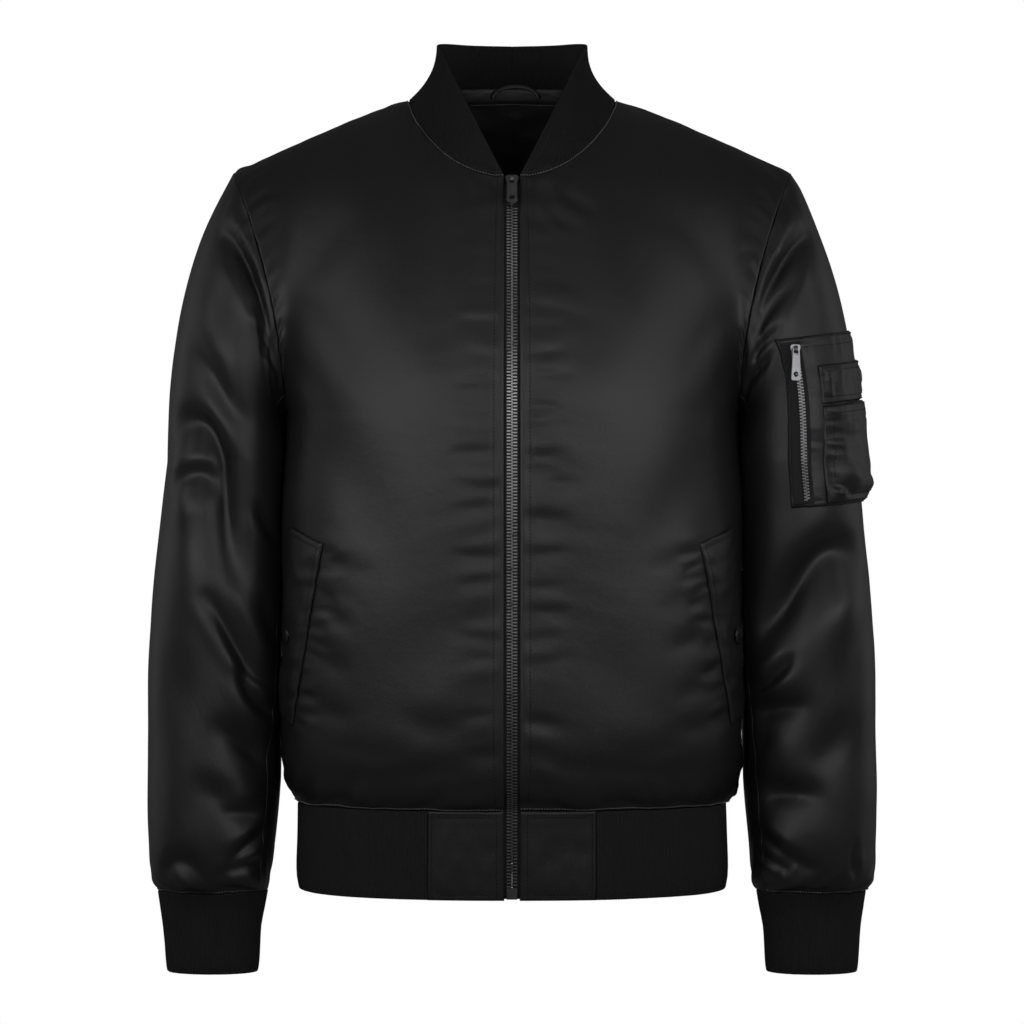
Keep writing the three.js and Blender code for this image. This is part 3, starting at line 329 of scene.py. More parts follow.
def wall(name, points, out, thick, edges, roll=(1.2, 2.6), under=(0.0, 1.0), stride=2, closed=False,
         normal=None):
    """A closed wall of cloth: the grid, an inner grid of every stride-th point one thickness inside it, and
    a rim of triangles between the two. At the named edges the outer face falls by the depth and width in
    roll, and the inner face by those in under. Inner faces take the second material."""
    normal = outwards(points, out, closed) if normal is None else normal
    distances = edge_distances(points)
    away = np.min([distances[edge] for edge in edges.split()], axis=0)
    outer = points - normal * dropped(away, *roll)[..., None]
    inner = points - normal * (thick - dropped(away, *under))[..., None]
    inner = inner[::stride, ::stride]
    cloth = np.stack([distances["u0"], distances["v0"]], -1)
    face = np.arange(outer.shape[0] * outer.shape[1]).reshape(outer.shape[:2])
    deep = face.size + np.arange(inner.shape[0] * inner.shape[1]).reshape(inner.shape[:2])
    if closed:
        face = np.hstack([face, face[:, :1]])
        deep = np.hstack([deep, deep[:, :1]])
    quads = [
        np.stack([face[:-1, :-1], face[:-1, 1:], face[1:, 1:], face[1:, :-1]], -1).reshape(-1, 4),
        np.stack([deep[:-1, :-1], deep[1:, :-1], deep[1:, 1:], deep[:-1, 1:]], -1).reshape(-1, 4),
    ]
    sides = [(face[0], deep[0]), (face[-1][::-1], deep[-1][::-1])]
    if not closed:
        sides += [(face[:, -1], deep[:, -1]), (face[::-1, 0], deep[::-1, 0])]
    half = stride // 2
    for path, under_path in sides:
        first = path[:-1].reshape(-1, stride)
        second = path[1:].reshape(-1, stride)
        left = under_path[:-1, None]
        right = under_path[1:, None]
        apex = np.where(np.arange(stride) < half, left, right)
        quads.append(np.stack([second, first, apex], -1).reshape(-1, 3))
        quads.append(np.hstack([left, right, first[:, half:half + 1]]))
    if out < 0:
        quads = [q[:, ::-1] for q in quads]
    marks = np.concatenate([np.full(len(q), 1 if k == 1 else 0) for k, q in enumerate(quads)])
    everything = np.concatenate([outer.reshape(-1, 3), inner.reshape(-1, 3)])
    spread = np.concatenate([cloth.reshape(-1, 2), cloth[::stride, ::stride].reshape(-1, 2)])
    return mesh_of(name, everything, quads, spread, marks)


class Signal:
    """One output of a shader node. Sums and products of signals and numbers add Math nodes."""

    def __init__(self, finish, socket):
        self.finish = finish
        self.socket = socket

    def math(self, operation, *values):
        return self.finish.make("ShaderNodeMath", {"operation": operation}, dict(enumerate(values)))

    def __add__(self, other):
        return self.math("ADD", self, other)

    def __mul__(self, other):
        return self.math("MULTIPLY", self, other)

    __radd__ = __add__
    __rmul__ = __mul__


class Finish:
    """A material and its nodes. make adds a node by its type, its settings, and the values or links of
    its sockets, and gives back the output that is asked for."""

    def __init__(self, name):
        self.material = bpy.data.materials.new(name)
        self.material.use_nodes = True
        self.tree = self.material.node_tree
        self.tree.nodes.clear()
        self.surface = self.tree.nodes.new("ShaderNodeBsdfPrincipled")
        shown = self.tree.nodes.new("ShaderNodeOutputMaterial")
        self.tree.links.new(self.surface.outputs[0], shown.inputs["Surface"])

    def join(self, node, sockets):
        for key, value in sockets.items():
            if isinstance(value, Signal):
                self.tree.links.new(value.socket, node.inputs[key])
            else:
                node.inputs[key].default_value = value

    def make(self, kind, settings, sockets, output=0):
        node = self.tree.nodes.new(kind)
        for key, value in settings.items():
            setattr(node, key, value)
        self.join(node, sockets)
        return Signal(self, node.outputs[output])

    def place(self, source="UV"):
        return self.make("ShaderNodeTexCoord", {}, {}, source)

    def stretched(self, where, scale, turn=0.0):
        return self.make("ShaderNodeMapping", {},
                         {"Vector": where, "Scale": scale, "Rotation": (0, 0, turn)})

    def noise(self, where, scale, detail=2.0, roughness=0.5):
        return self.make("ShaderNodeTexNoise", {},
                         {"Vector": where, "Scale": scale, "Detail": detail, "Roughness": roughness})

    def blend(self, share, low, high):
        return self.make("ShaderNodeMix", {"data_type": "RGBA"}, {0: share, 6: low, 7: high}, 2)

    def bump(self, height, distance, under=None):
        sockets = {"Height": height, "Distance": distance, "Strength": 1.0}
        if under is not None:
            sockets["Normal"] = under
        return self.make("ShaderNodeBump", {}, sockets)

    def set(self, **sockets):
        self.join(self.surface, {key.replace("_", " "): value for key, value in sockets.items()})
        return self.material


def satin(name, low, high):
    """Satin: long floats of bright thread run across the cloth, so fine streaks follow its rows. A fine
    grain and faint wider patches vary colour and roughness, and weave, grain and a soft crumple too small
    for the mesh are bumps one over another."""
    made = Finish(name)
    cloth = made.place()
    patches = made.noise(cloth, 22.0, 3.0)
    streaks = made.noise(made.stretched(cloth, (260, 2600, 1)), 1.0, 3.0, 0.6)
    grain = made.noise(cloth, 640.0, 1.0, 0.6)
    crumple = made.noise(made.stretched(cloth, (70, 110, 1), 0.3), 1.0, 3.0, 0.55)
    weave = made.noise(made.stretched(cloth, (1500, 3200, 1)), 1.0, 1.0)
    soft = made.bump(crumple, 0.00016)
    return made.set(
        Base_Color=made.blend(patches * 0.3 + grain * 0.7, (*low, 1), (*high, 1)),
        Roughness=0.32 + patches * 0.06 + streaks * 0.06 + grain * 0.12,
        Normal=made.bump(weave, 0.00003, made.bump(grain, 0.00007, soft)),
    )


SATIN = satin("satin", (0.004, 0.004, 0.0045), (0.02, 0.02, 0.022))
LINING = satin("lining", (0.012, 0.012, 0.0125), (0.028, 0.028, 0.03))


def cut_of(points, closed=False):
    """The flat cut of a grid of cloth in metres: its mean row, its longest column and its area."""
    if closed:
        points = np.concatenate([points, points[:, :1]], axis=1)
    width = run_along(points, 1)[:, -1].mean() / 1000
    length = run_along(points, 0)[-1].max() / 1000
    cells = np.cross(points[1:, 1:] - points[:-1, :-1], points[1:, :-1] - points[:-1, 1:])
    area = np.linalg.norm(cells, axis=2).sum() / 2e6
    return width, length, min(area, width * length)


def sewn(piece, points, nodes, finishes, closed=False):
    """Gives a cloth piece its outer and inner finish and its body, hides the nodes it stands for, and works
    out its flat cut, which it does not keep.
    """
    for finish in finishes:
        piece.data.materials.append(finish)
    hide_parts(*nodes)
    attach(piece, "jacket")
    width, length, area = cut_of(points, closed)


# Puckers beside the zip, by height: how far each reaches from the stitch line, how deep it is, and how
# much its far end lies above its start.
PUCKERS = {
    "right": columns("z reach depth lean", [
        (-138, 26, 0.9, 3), (-159, 22, 0.8, -2), (-190, 34, 1.0, 2), (-218, 24, 0.9, 4), (-237, 34, 1.1, -3),
        (-252, 26, 0.9, 2), (-263, 36, 1.2, 5), (-294, 38, 1.3, -2), (-309, 24, 1.0, 3), (-322, 36, 1.2, 4),
        (-337, 30, 1.1, -3), (-378, 34, 1.2, 3), (-397, 28, 1.0, -2), (-443, 34, 1.1, 5), (-459, 22, 0.8, 2),
        (-503, 30, 1.0, -3), (-536, 24, 0.8, 3),
    ]),
    "left": columns("z reach depth lean", [
        (-128, 30, 1.0, 4), (-143, 24, 0.9, -3), (-159, 26, 0.9, 3), (-192, 32, 1.0, -2), (-216, 26, 1.0, 3),
        (-234, 36, 1.2, 4), (-257, 28, 1.0, -3), (-275, 36, 1.3, 2), (-298, 30, 1.1, 4), (-309, 24, 0.9, -2),
        (-322, 38, 1.3, 3), (-345, 34, 1.2, -3), (-376, 32, 1.1, 4), (-402, 26, 1.0, 2), (-420, 34, 1.1, -2),
        (-443, 24, 0.9, 3), (-462, 30, 1.0, 4), (-508, 26, 0.9, -3),
    ]),
}
# Folds of each front, by distance from the centre line and height: points, width, depth, and the share of
# the ridges left and right of its way.
FRONT_FOLDS = {
    "right": [
        ([(128, -96), (152, -128), (166, -160)], 13, 2.0, 0.3, 0.5),
        ([(172, -170), (150, -196), (132, -236)], 12, 1.8, 0.5, 0.3),
        ([(182, -214), (164, -236), (150, -268)], 8, 1.5, 0.5, 0.3),
        ([(172, -268), (140, -300), (112, -352), (100, -402)], 26, 3.0, 0.4, 0.4),
        ([(148, -374), (128, -388), (106, -392)], 8, 1.0, 0.4, 0.5),
        ([(152, -390), (136, -410), (114, -424)], 8, 0.9, 0.5, 0.4),
        ([(158, -410), (140, -428), (124, -434)], 7, 1.2, 0.4, 0.4),
        ([(166, -446), (150, -462), (130, -470)], 8, 1.3, 0.4, 0.4),
        ([(172, -486), (152, -502), (128, -508)], 8, 1.4, 0.4, 0.4),
        ([(40, -420), (72, -452), (84, -500)], 24, 2.2, 0.3, 0.4),
        ([(176, -548), (120, -556), (60, -550), (24, -556)], 9, 2.2, 0.3, 0.5),
        ([(150, -530), (110, -536), (74, -530)], 9, 1.4, 0.3, 0.4),
        ([(66, -150), (58, -186), (62, -226)], 22, 1.8, 0.4, 0.4),
        ([(96, -500), (62, -516), (30, -512)], 12, 1.6, 0.4, 0.4),
    ],
    "left": [
        ([(120, -88), (148, -120), (168, -156)], 13, 2.0, 0.3, 0.5),
        ([(176, -176), (154, -204), (140, -240)], 11, 1.8, 0.5, 0.3),
        ([(182, -226), (166, -244), (152, -276)], 8, 1.5, 0.5, 0.3),
        ([(170, -280), (142, -318), (118, -364), (108, -414)], 25, 2.8, 0.4, 0.4),
        ([(149, -372), (130, -383), (108, -386)], 8, 1.0, 0.4, 0.5),
        ([(153, -396), (134, -414), (114, -420)], 8, 0.8, 0.5, 0.4),
        ([(162, -430), (144, -446), (126, -450)], 7, 1.2, 0.4, 0.4),
        ([(170, -470), (150, -484), (132, -490)], 8, 1.3, 0.4, 0.4),
        ([(174, -500), (156, -514), (130, -518)], 8, 1.4, 0.4, 0.4),
        ([(176, -546), (124, -552), (64, -546), (26, -552)], 9, 2.2, 0.3, 0.5),
        ([(140, -528), (104, -534), (70, -527)], 9, 1.4, 0.3, 0.4),
        ([(46, -430), (76, -466), (84, -512)], 22, 2.0, 0.3, 0.4),
        ([(70, -140), (60, -180), (66, -230)], 22, 1.8, 0.4, 0.4),
        ([(22, -86), (34, -104), (52, -116)], 5, 1.2, 0.4, 0.4),
        ([(38, -80), (52, -94), (70, -102)], 5, 1.0, 0.4, 0.4),
        ([(14, -98), (30, -118), (44, -122)], 4, 0.9, 0.4, 0.4),
    ],
}
FLAP_LINE = ((151, -367), (178, -516))  # top and foot of the line where the hand pocket's flap is sewn
SIDE = {"left": 1, "right": -1}


def zip_puckers(table):
    """A short fold for each row of the table, from the zip's edge outwards, wider where it reaches more."""
    return [
        ([(8, z), (14 + reach * 0.5, z + lean * 0.4), (14 + reach, z + lean)],
         2.3 + 0.045 * reach, depth * 0.6, 0.7, 0.5)
        for z, reach, depth, lean in zip(*(table[key] for key in ("z", "reach", "depth", "lean")))
    ]


def flap_puckers(side, count=15):
    """Short folds of uneven length that start along the flap's sewn line and run towards the zip."""
    (top_x, top_z), (foot_x, foot_z) = FLAP_LINE
    steps = np.arange(count) * 1.0
    at = np.linspace(0.03, 0.97, count) + 0.02 * swell(steps, 0.0, 14 + side)
    lengths = 15 + 6 * swell(steps, 0.0, 17 + side)
    drops = 7 * swell(steps, 0.0, 19 + side) - 4
    return [
        ([(x + 2, z + 1), (x - length * 0.5, z + drop * 0.6), (x - length, z + drop)], 3.0, 1.5, 0.7, 0.5)
        for x, z, length, drop in zip(mix(top_x, foot_x, at), mix(top_z, foot_z, at), lengths, drops)
    ]


share = np.linspace(0, 1, 1600)
FRONT_US = spaced(body_half("front", share, np.full(share.shape, 0.45)), 2.7)
PANEL_VS = spaced(body_half("front", np.full(share.shape, 0.5), share), 2.7)
FRONTS = {}
for name, side in SIDE.items():
    half = eased_panel(body_half("front", FRONT_US[None, :], PANEL_VS[:, None]), FRONT_US, PANEL_VS)
    x = half[..., 0]
    z = half[..., 2]
    distances = edge_distances(half)
    inside = ease(distances["u1"], 0, 30) * ease(distances["v0"], 0, 26) * ease(distances["v1"], 0, 22)
    # Broad waves of the wadding and the placed folds die away at the seams, where the puckers take over.
    wide = 0.9 * swell(x / 66, z / 92, 3 + side) + 0.25 * swell(x / 30, z / 44, 5 + side)
    placed = folds(FRONT_FOLDS[name], x, z) + folds(flap_puckers(side), x, z)
    beside_zip = folds(zip_puckers(PUCKERS[name]), x, z) + 0.7 * gathers(half, "u0", 13, 1.0, 11 + side, 15)
    corner = ease(distances["u1"] + distances["v1"], 12, 40)
    at_neck = 1 - 0.8 * ease(FRONT_US, NECK_SHARE, 0.5)[None, :]
    seams = (gathers(half, "u1", 9, 1.5, 21 + side, 8) * corner
             + gathers(half, "v1", 11, 1.2, 31 + side, 8) * at_neck
             + gathers(half, "v0", 15, 2.3, 41 + side, 9))
    channel = -0.9 * np.exp(-(((x - PLACKET_STITCH) / 1.6) ** 2)) * ease(distances["v0"], 0, 5)
    rise = (wide + placed) * inside * ease(x, 14, 48)
    rise = rise + beside_zip * ease(distances["u0"], 0, 4) * ease(distances["v1"], 0, 8) + seams + channel
    FRONTS[name] = raised(half, 1, rise) * (side, 1, 1)
    piece = wall(f"satin_front_{name}", FRONTS[name], side, SHELL, "u0 u1 v0 v1")
    sewn(piece, FRONTS[name], [f"front_{name}"], [SATIN, LINING])


# Back panel: one piece of the same satin between the side seams, with the same kind of soft folds: drag
# lines from the armholes, and blousing above the hem.
BACK_FOLDS = [
    ([(-176, -210), (-140, -262), (-96, -316)], 20, 4.0, 0.4, 0.5),
    ([(178, -190), (146, -246), (100, -300), (64, -330)], 20, 4.2, 0.5, 0.4),
    ([(-182, -290), (-150, -318), (-110, -330)], 11, 2.2, 0.4, 0.4),
    ([(180, -310), (146, -350), (110, -366)], 12, 2.4, 0.4, 0.4),
    ([(-60, -130), (-20, -146), (40, -142), (84, -124)], 24, 2.4, 0.3, 0.4),
    ([(150, -460), (90, -478), (20, -470), (-40, -482)], 16, 3.6, 0.4, 0.5),
    ([(-160, -500), (-100, -516), (-30, -508)], 15, 3.4, 0.4, 0.5),
    ([(120, -420), (70, -432), (26, -424)], 12, 2.0, 0.4, 0.4),
    ([(-130, -420), (-86, -440), (-40, -436)], 13, 2.2, 0.4, 0.4),
    ([(170, -552), (90, -560), (0, -552), (-90, -560), (-168, -552)], 10, 2.8, 0.3, 0.5),
    ([(110, -534), (40, -540), (-30, -533)], 10, 1.8, 0.4, 0.4),
    ([(-20, -60), (-28, -110), (-22, -170)], 26, 1.8, 0.4, 0.4),
]
back_us = spaced(body_half("back", share, np.full(share.shape, 0.45)), 3.0)
back_ws = np.concatenate([-back_us[:0:-1], back_us])
half = body_half("back", np.abs(back_ws)[None, :], PANEL_VS[:, None])
half = eased_panel(half * places(np.where(back_ws < 0, -1, 1), 1, 1)[None], back_ws, PANEL_VS)
distances = edge_distances(half)
inside = (ease(distances["u0"], 0, 30) * ease(distances["u1"], 0, 30) * ease(distances["v0"], 0, 26)
          * ease(distances["v1"], 0, 24))
x = half[..., 0]
z = half[..., 2]
rise = (1.2 * swell(x / 64, z / 84, 51) + 0.5 * swell(x / 30, z / 42, 52) + folds(BACK_FOLDS, x, z)) * inside
rise = rise + gathers(half, "u0", 9, 1.5, 53, 8) + gathers(half, "u1", 9, 1.5, 54, 8)
rise = rise + gathers(half, "v0", 15, 2.3, 55, 9)
at_neck = 1 - 0.8 * ease(np.abs(back_ws), NECK_SHARE, 0.5)[None, :]
rise = rise + gathers(half, "v1", 12, 1.1, 56, 8) * at_neck
BACK = raised(half, -1, rise)
piece = wall("satin_back", BACK, -1, SHELL, "u0 u1 v0 v1")
sewn(piece, BACK, ["back"], [SATIN, LINING])


# Sleeves: each a large upper piece round the outside of the arm and a narrow under piece, eased into the
# armhole. They hang free and break at the elbow and above the cuff into deep slanting folds.
CAP = 240.0  # length from the armhole to the first level ring, and the height of that ring
CAP_FOOT = -300.0
TURN_STEP = np.pi / 11  # the solid's sleeve has 22 columns, and its seams and patch lie on them
SLEEVE_LENGTH = 594.0
SLEEVE_RADIUS = 66.0  # turns degrees round the sleeve into lengths for its folds
SLEEVE = columns("z outer inner y half_depth", [
    (-654, 293, 202, -10, 37),
    (-645, 298.5, 199, -10, 47),
    (-614, 301, 196, -7, 56),
    (-581, 302, 193, -3, 60),
    (-545, 302, 190.5, 1, 63),
    (-498, 302, 186, 5, 66),
    (-448, 301, 184, 9, 69),
    (-365, 294.5, 181, 13, 74),
    (-300, 287, 178, 14, 78),
])
# Folds of each sleeve, by degrees round from its outer line towards the front, and length down from the
# shoulder: points, width, depth, and the share of the ridges left and right of its way.
SLEEVE_FOLDS = {
    "right": [
        ([(39, 40), (54, 28), (69, 21), (82, 15), (96, 12), (112, 12)], 7, 10, 0.2, 0.4),
        ([(86, 46), (91, 30), (94, 16)], 4, 1.9, 0.6, 0.3),
        ([(99, 41), (108, 26), (120, 12)], 5, 3.4, 0.6, 0.3),
        ([(106, 50), (116, 30), (128, 14)], 5, 2.8, 0.5, 0.3),
        ([(42, 143), (66, 142), (84, 158), (99, 186)], 17, 7.5, 0.2, 0.3),
        ([(32, 215), (50, 203), (69, 204), (81, 226), (90, 255), (96, 284), (101, 311), (109, 346)],
         12, 17, 0.1, 0.5),
        ([(39, 263), (50, 253), (65, 249), (75, 256), (82, 270)], 8, 7.5, 0.1, 0.4),
        ([(79, 346), (96, 372), (111, 396), (125, 415), (147, 430)], 6, 8.5, 0.5, 0.4),
        ([(108, 408), (123, 431), (139, 444), (152, 447)], 6.5, 7.5, 0.4, 0.4),
        ([(91, 455), (114, 465), (138, 479), (161, 484)], 10, 9.5, 0.1, 0.3),
        ([(80, 498), (93, 510), (115, 521)], 11, 5.5, 0.1, 0.2),
        ([(102, 528), (119, 526), (142, 529)], 6.5, 4.6, 0.3, 0.6),
        ([(158, 540), (129, 553), (108, 569)], 5.5, 4.0, 0.5, 0.5),
        ([(154, 566), (124, 571), (97, 578)], 4.5, 3.0, 0.4, 0.4),
        ([(42, 577), (60, 566), (75, 568), (88, 577)], 6.5, 4.8, 0.2, 0.6),
        ([(117, 276), (131, 293), (148, 312)], 6, 3.2, 0.4, 0.4),
        ([(45, 395), (62, 427), (78, 459)], 22, 2.6, 0.2, 0.2),
        ([(129, 354), (138, 375), (150, 387)], 8, 2.4, 0.3, 0.3),
        ([(-30, 120), (-60, 150), (-86, 190)], 15, 4.6, 0.4, 0.4),
        ([(-40, 262), (-74, 284), (-104, 322)], 14, 7.4, 0.3, 0.5),
        ([(-30, 350), (-64, 384), (-100, 420)], 12, 6.2, 0.4, 0.5),
        ([(-44, 438), (-80, 470), (-108, 486)], 11, 5.2, 0.4, 0.5),
        ([(-30, 540), (-70, 548), (-106, 540)], 9, 4.2, 0.4, 0.5),
        ([(-50, 572), (-90, 566)], 6, 2.8, 0.4, 0.4),
    ],
    "left": [
        ([(33, 45), (52, 35), (69, 27), (85, 17), (101, 12)], 7.5, 9.5, 0.2, 0.4),
        ([(59, 60), (78, 45), (96, 26), (112, 16)], 6, 4.2, 0.3, 0.5),
        ([(92, 64), (108, 40), (123, 18)], 5, 4.2, 0.3, 0.5),
        ([(105, 75), (121, 48), (140, 20)], 5.5, 4.6, 0.3, 0.5),
        ([(32, 317), (58, 310), (78, 319), (98, 339), (120, 365), (140, 392)], 13, 17, 0.1, 0.55),
        ([(104, 398), (114, 410), (129, 422), (149, 430)], 5.5, 5.2, 0.5, 0.5),
        ([(92, 437), (125, 442), (151, 450)], 9, 9, 0.2, 0.3),
        ([(55, 448), (71, 471), (96, 488)], 15, 6, 0.1, 0.2),
        ([(84, 513), (116, 510), (150, 515)], 10, 9.5, 0.1, 0.3),
        ([(163, 540), (135, 552), (113, 565), (86, 575)], 5.5, 4.6, 0.5, 0.4),
        ([(163, 558), (137, 567), (114, 575)], 4.5, 3.2, 0.4, 0.4),
        ([(52, 551), (55, 568), (48, 583)], 5, 3.0, 0.4, 0.4),
        ([(31, 371), (53, 403), (66, 427)], 18, 2.8, 0.2, 0.2),
        ([(127, 464), (142, 477), (156, 494)], 7, 2.6, 0.3, 0.3),
        ([(-28, 140), (-58, 164), (-84, 206)], 15, 4.6, 0.4, 0.4),
        ([(-38, 280), (-74, 304), (-104, 340)], 14, 7.4, 0.3, 0.5),
        ([(-30, 372), (-66, 404), (-100, 440)], 12, 6.2, 0.4, 0.5),
        ([(-44, 456), (-80, 486), (-108, 500)], 11, 5.2, 0.4, 0.5),
        ([(-34, 546), (-74, 552), (-106, 544)], 9, 4.2, 0.4, 0.5),
    ],
}


def sleeve_ring(rows, turn, z):
    """A level ellipse between the outer and inner reach of the table."""
    outer = curve(rows, "outer", z)
    inner = curve(rows, "inner", z)
    return places((outer + inner) / 2 + (outer - inner) / 2 * np.cos(turn),
                  curve(rows, "y", z) - curve(rows, "half_depth", z) * np.sin(turn), z)


def sleeve_point(turn, down):
    """Below the cap a stack of level rings. Above it each line of the sleeve is a cubic that leaves the
    armhole outwards and down and comes into the first ring straight down."""
    turn, down = np.broadcast_arrays(turn, down)
    t = np.clip(down / CAP, 0, 1)[..., None]
    start = armhole(turn)
    end = sleeve_ring(SLEEVE, turn, np.full(turn.shape, CAP_FOOT))
    c = np.cos(turn)
    leave = places(0.68 - 0.18 * c, -0.25 * np.sin(turn), -0.69 - 0.18 * c)
    leave = leave / np.linalg.norm(leave, axis=-1, keepdims=True)
    pull = 1.05 * np.linalg.norm(end - start, axis=-1, keepdims=True)
    arrive = pull * (0, 0, -1)
    cap = ((2 * t**3 - 3 * t**2 + 1) * start + (3 * t**2 - 2 * t**3) * end
           + (t**3 - 2 * t**2 + t) * leave * pull + (t**3 - t**2) * arrive)
    level = sleeve_ring(SLEEVE, turn, CAP_FOOT - np.maximum(down - CAP, 0))
    return np.where((down < CAP)[..., None], cap, level)


def body_side(y, z):
    """How far out the body's side reaches at a depth y, from the same rings."""
    square = curve(TRUNK, "square", z)
    reach = np.where(y < 0, curve(TRUNK, "front", z), curve(TRUNK, "back", z))
    near = np.clip(np.abs(y) / reach, 0, 1)
    return curve(TRUNK, "half_width", z) * (1 - near**square) ** (1 / square)


def pressed(points, turn):
    """The sleeve pushed aside by the body it hangs against, over a soft shoulder of 4 mm. Just below the
    underarm its inner side, a little to the back, clings to the body instead."""
    x, y, z = np.moveaxis(points, -1, 0)
    into = body_side(y, z) + 1.1 - x
    moved = np.where(into > 4, into, np.where(into > -4, (into + 4) ** 2 / 16, 0))
    cling = ease(-np.cos(turn - 0.35), 0.72, 0.93) * ease(-z, 250, 257) * (1 - ease(-z, 280, 316))
    moved = moved + cling * np.minimum(into, 0)
    moved = np.where((z > UNDERARM + 12) | (z < HEM_SEAM), 0, moved)
    return np.stack([x + moved, y, z], -1)


def sleeve_grid(name, turns, downs):
    """A part of a sleeve with its folds, from the turns of its columns and the lengths of its rows."""
    turn, down = np.meshgrid(turns, downs)
    base = sleeve_point(turn, down)
    degrees = (np.degrees(turn) + 180) % 360 - 180
    round_it = np.radians(degrees) * SLEEVE_RADIUS
    rows = [([(np.radians(a) * SLEEVE_RADIUS, d) for a, d in points], *rest)
            for points, *rest in SLEEVE_FOLDS[name]]
    seed = 60 if name == "left" else 70
    inside = ease(down, 0, 16) * ease(SLEEVE_LENGTH - down, 0, 12)
    wide = 1.0 * swell(round_it / 48, down / 74, seed) + 0.4 * swell(round_it / 24, down / 40, seed + 1)
    under = ease(1 + np.cos(turn), 0.02, 0.35)
    rise = (folds(rows, round_it, down) * ease(down, 0, 12) + wide * under) * inside * mix(0.3, 1, under)
    rise = rise + (gathers(base, "v0", 9, 1.5, seed + 2, 8) * ease(np.abs(degrees), 6, 30)
                   * ease(1 + np.cos(turn), 0.1, 0.8))
    rise = rise + gathers(base, "v1", 12, 2.2, seed + 3, 9)
    return pressed(raised(base, 1, rise), turn)


downs = spaced(sleeve_point(np.full(share.shape, 0.6), share * SLEEVE_LENGTH), 2.5) * SLEEVE_LENGTH
SLEEVE_TURNS = {}
SLEEVES = {}
for name, side in SIDE.items():
    for part, first, last in (("top", -7, 9), ("under", 9, 15)):
        span = mix(first, last, share) * TURN_STEP
        turns = np.interp(spaced(sleeve_point(span, np.full(share.shape, 300.0)), 2.6), share, span)
        points = sleeve_grid(name, turns, downs) * (side, 1, 1)
        SLEEVE_TURNS[part] = turns
        SLEEVES[part, name] = points
        piece = wall(f"satin_sleeve_{part}_{name}", points, side, SHELL, "u0 u1 v0 v1", roll=(0.5, 1.4))
        sewn(piece, points, [f"sleeve_{part}_{name}"], [SATIN, LINING])


# Collar, cuffs and hem band: black rib knit, folded double, so the fold makes a round free edge. The ribs
# are real ridges 2.3 mm apart that run from the seam to the fold.
RIB_PITCH = 2.3
RIB = 3.0  # thickness of the doubled knit
HEM = columns("z half_width front back square", [
    (-653, 177, 113, 103, 2.3),
    (-640, 179, 114, 104, 2.3),
    (-610, 178.5, 115, 105, 2.3),
    (-581, 178, 116, 106, 2.3),
])
CUFF = columns("z outer inner y half_depth", [
    (-722, 285, 210, -12, 26),
    (-715, 286, 209, -12, 27),
    (-685, 288.5, 207.5, -11, 28),
    (-668, 291, 204.5, -10, 31),
    (-654, 293, 202, -10, 37),
])
COLLAR_TOP = columns("turn x y z flare", [
    (0, 0, 52, 51, 1.6),
    (30, 34, 46, 51, 1.8),
    (60, 55, 27, 50, 2.1),
    (90, 62, 4, 47, 2.3),
    (120, 62.5, -7, 44.5, 1.7),
    (150, 62, -14, 42.5, 1.25),
    (180, 61, -20, 40, 1),
])
TAB_X = 68.0  # centre line to the outer end of each satin tab


def knit(name):
    """Matt yarn: nearly black, rough, with a fuzz of fine uneven loops as a bump and in the colour."""
    made = Finish(name)
    cloth = made.place()
    loops = made.noise(made.stretched(cloth, (900, 520, 1)), 1.0, 2.0, 0.6)
    worn = made.noise(cloth, 40.0, 2.0)
    made.set(
        Base_Color=made.blend(loops * 0.7 + worn * 0.3, (0.008, 0.008, 0.0085, 1), (0.03, 0.03, 0.0315, 1)),
        Roughness=0.86 + loops * 0.12,
        Normal=made.bump(loops, 0.0004),
    )
    return made.set(Specular_IOR_Level=0.22)


KNIT = knit("rib_knit")


def ribbed_stations(path, closed=False):
    """Shares of a path with six stations to each rib, and the phase of each station within its rib."""
    run = path_run(path)
    ribs = int(round(run[-1] / RIB_PITCH))
    at = np.linspace(0, run[-1], 6 * ribs + 1)
    if closed:
        at = at[:-1]
    return np.interp(at, run, np.linspace(0, 1, len(path))), at / run[-1] * ribs


def rib_relief(phase, seed, down):
    """Round ribs with narrow valleys, |sin| to the power 0.55, each a little higher or lower than its
    neighbours."""
    uneven = 0.12 * swell(phase / 1.7, down / 30, seed) + 0.5 * swell(phase / 22, down / 40, seed + 1)
    return 0.62 * (np.abs(np.sin(np.pi * phase)) ** 0.55 - 1) + uneven


def rib_wall(name, points, phase, out, edges, seed, closed=False):
    """A double layer of rib: both faces are ridged, and the named free edges are round."""
    normal = outwards(points, out, closed)
    relief = rib_relief(phase[None, :], seed, run_along(points, 0))
    return wall(name, points + normal * relief[..., None], out, RIB, edges, roll=(1.45, 1.6),
                under=(1.2, 1.4), stride=1, closed=closed, normal=normal)


def collar_point(turn, v):
    """From the neckline to the top edge: heights run evenly, and x and y come in as 1 - (1 - v)^flare."""
    turn, v = np.broadcast_arrays(turn, v)
    away = np.abs(turn)
    back = neckline(NECK_BACK, 0, np.radians(np.minimum(away, 90)))
    front = neckline(NECK_FRONT, ZIP_EDGE, np.radians(180 - np.maximum(away, 90)))
    foot = np.where((away <= 90)[..., None], back, front)
    inwards = 1 - (1 - v) ** curve(COLLAR_TOP, "flare", away, "turn")
    top = [curve(COLLAR_TOP, key, away, "turn") for key in "xyz"]
    point = places(mix(foot[..., 0], top[0], inwards), mix(foot[..., 1], top[1], inwards),
                   mix(foot[..., 2], top[2], v))
    return point * places(np.where(turn < 0, -1, 1), 1, 1)


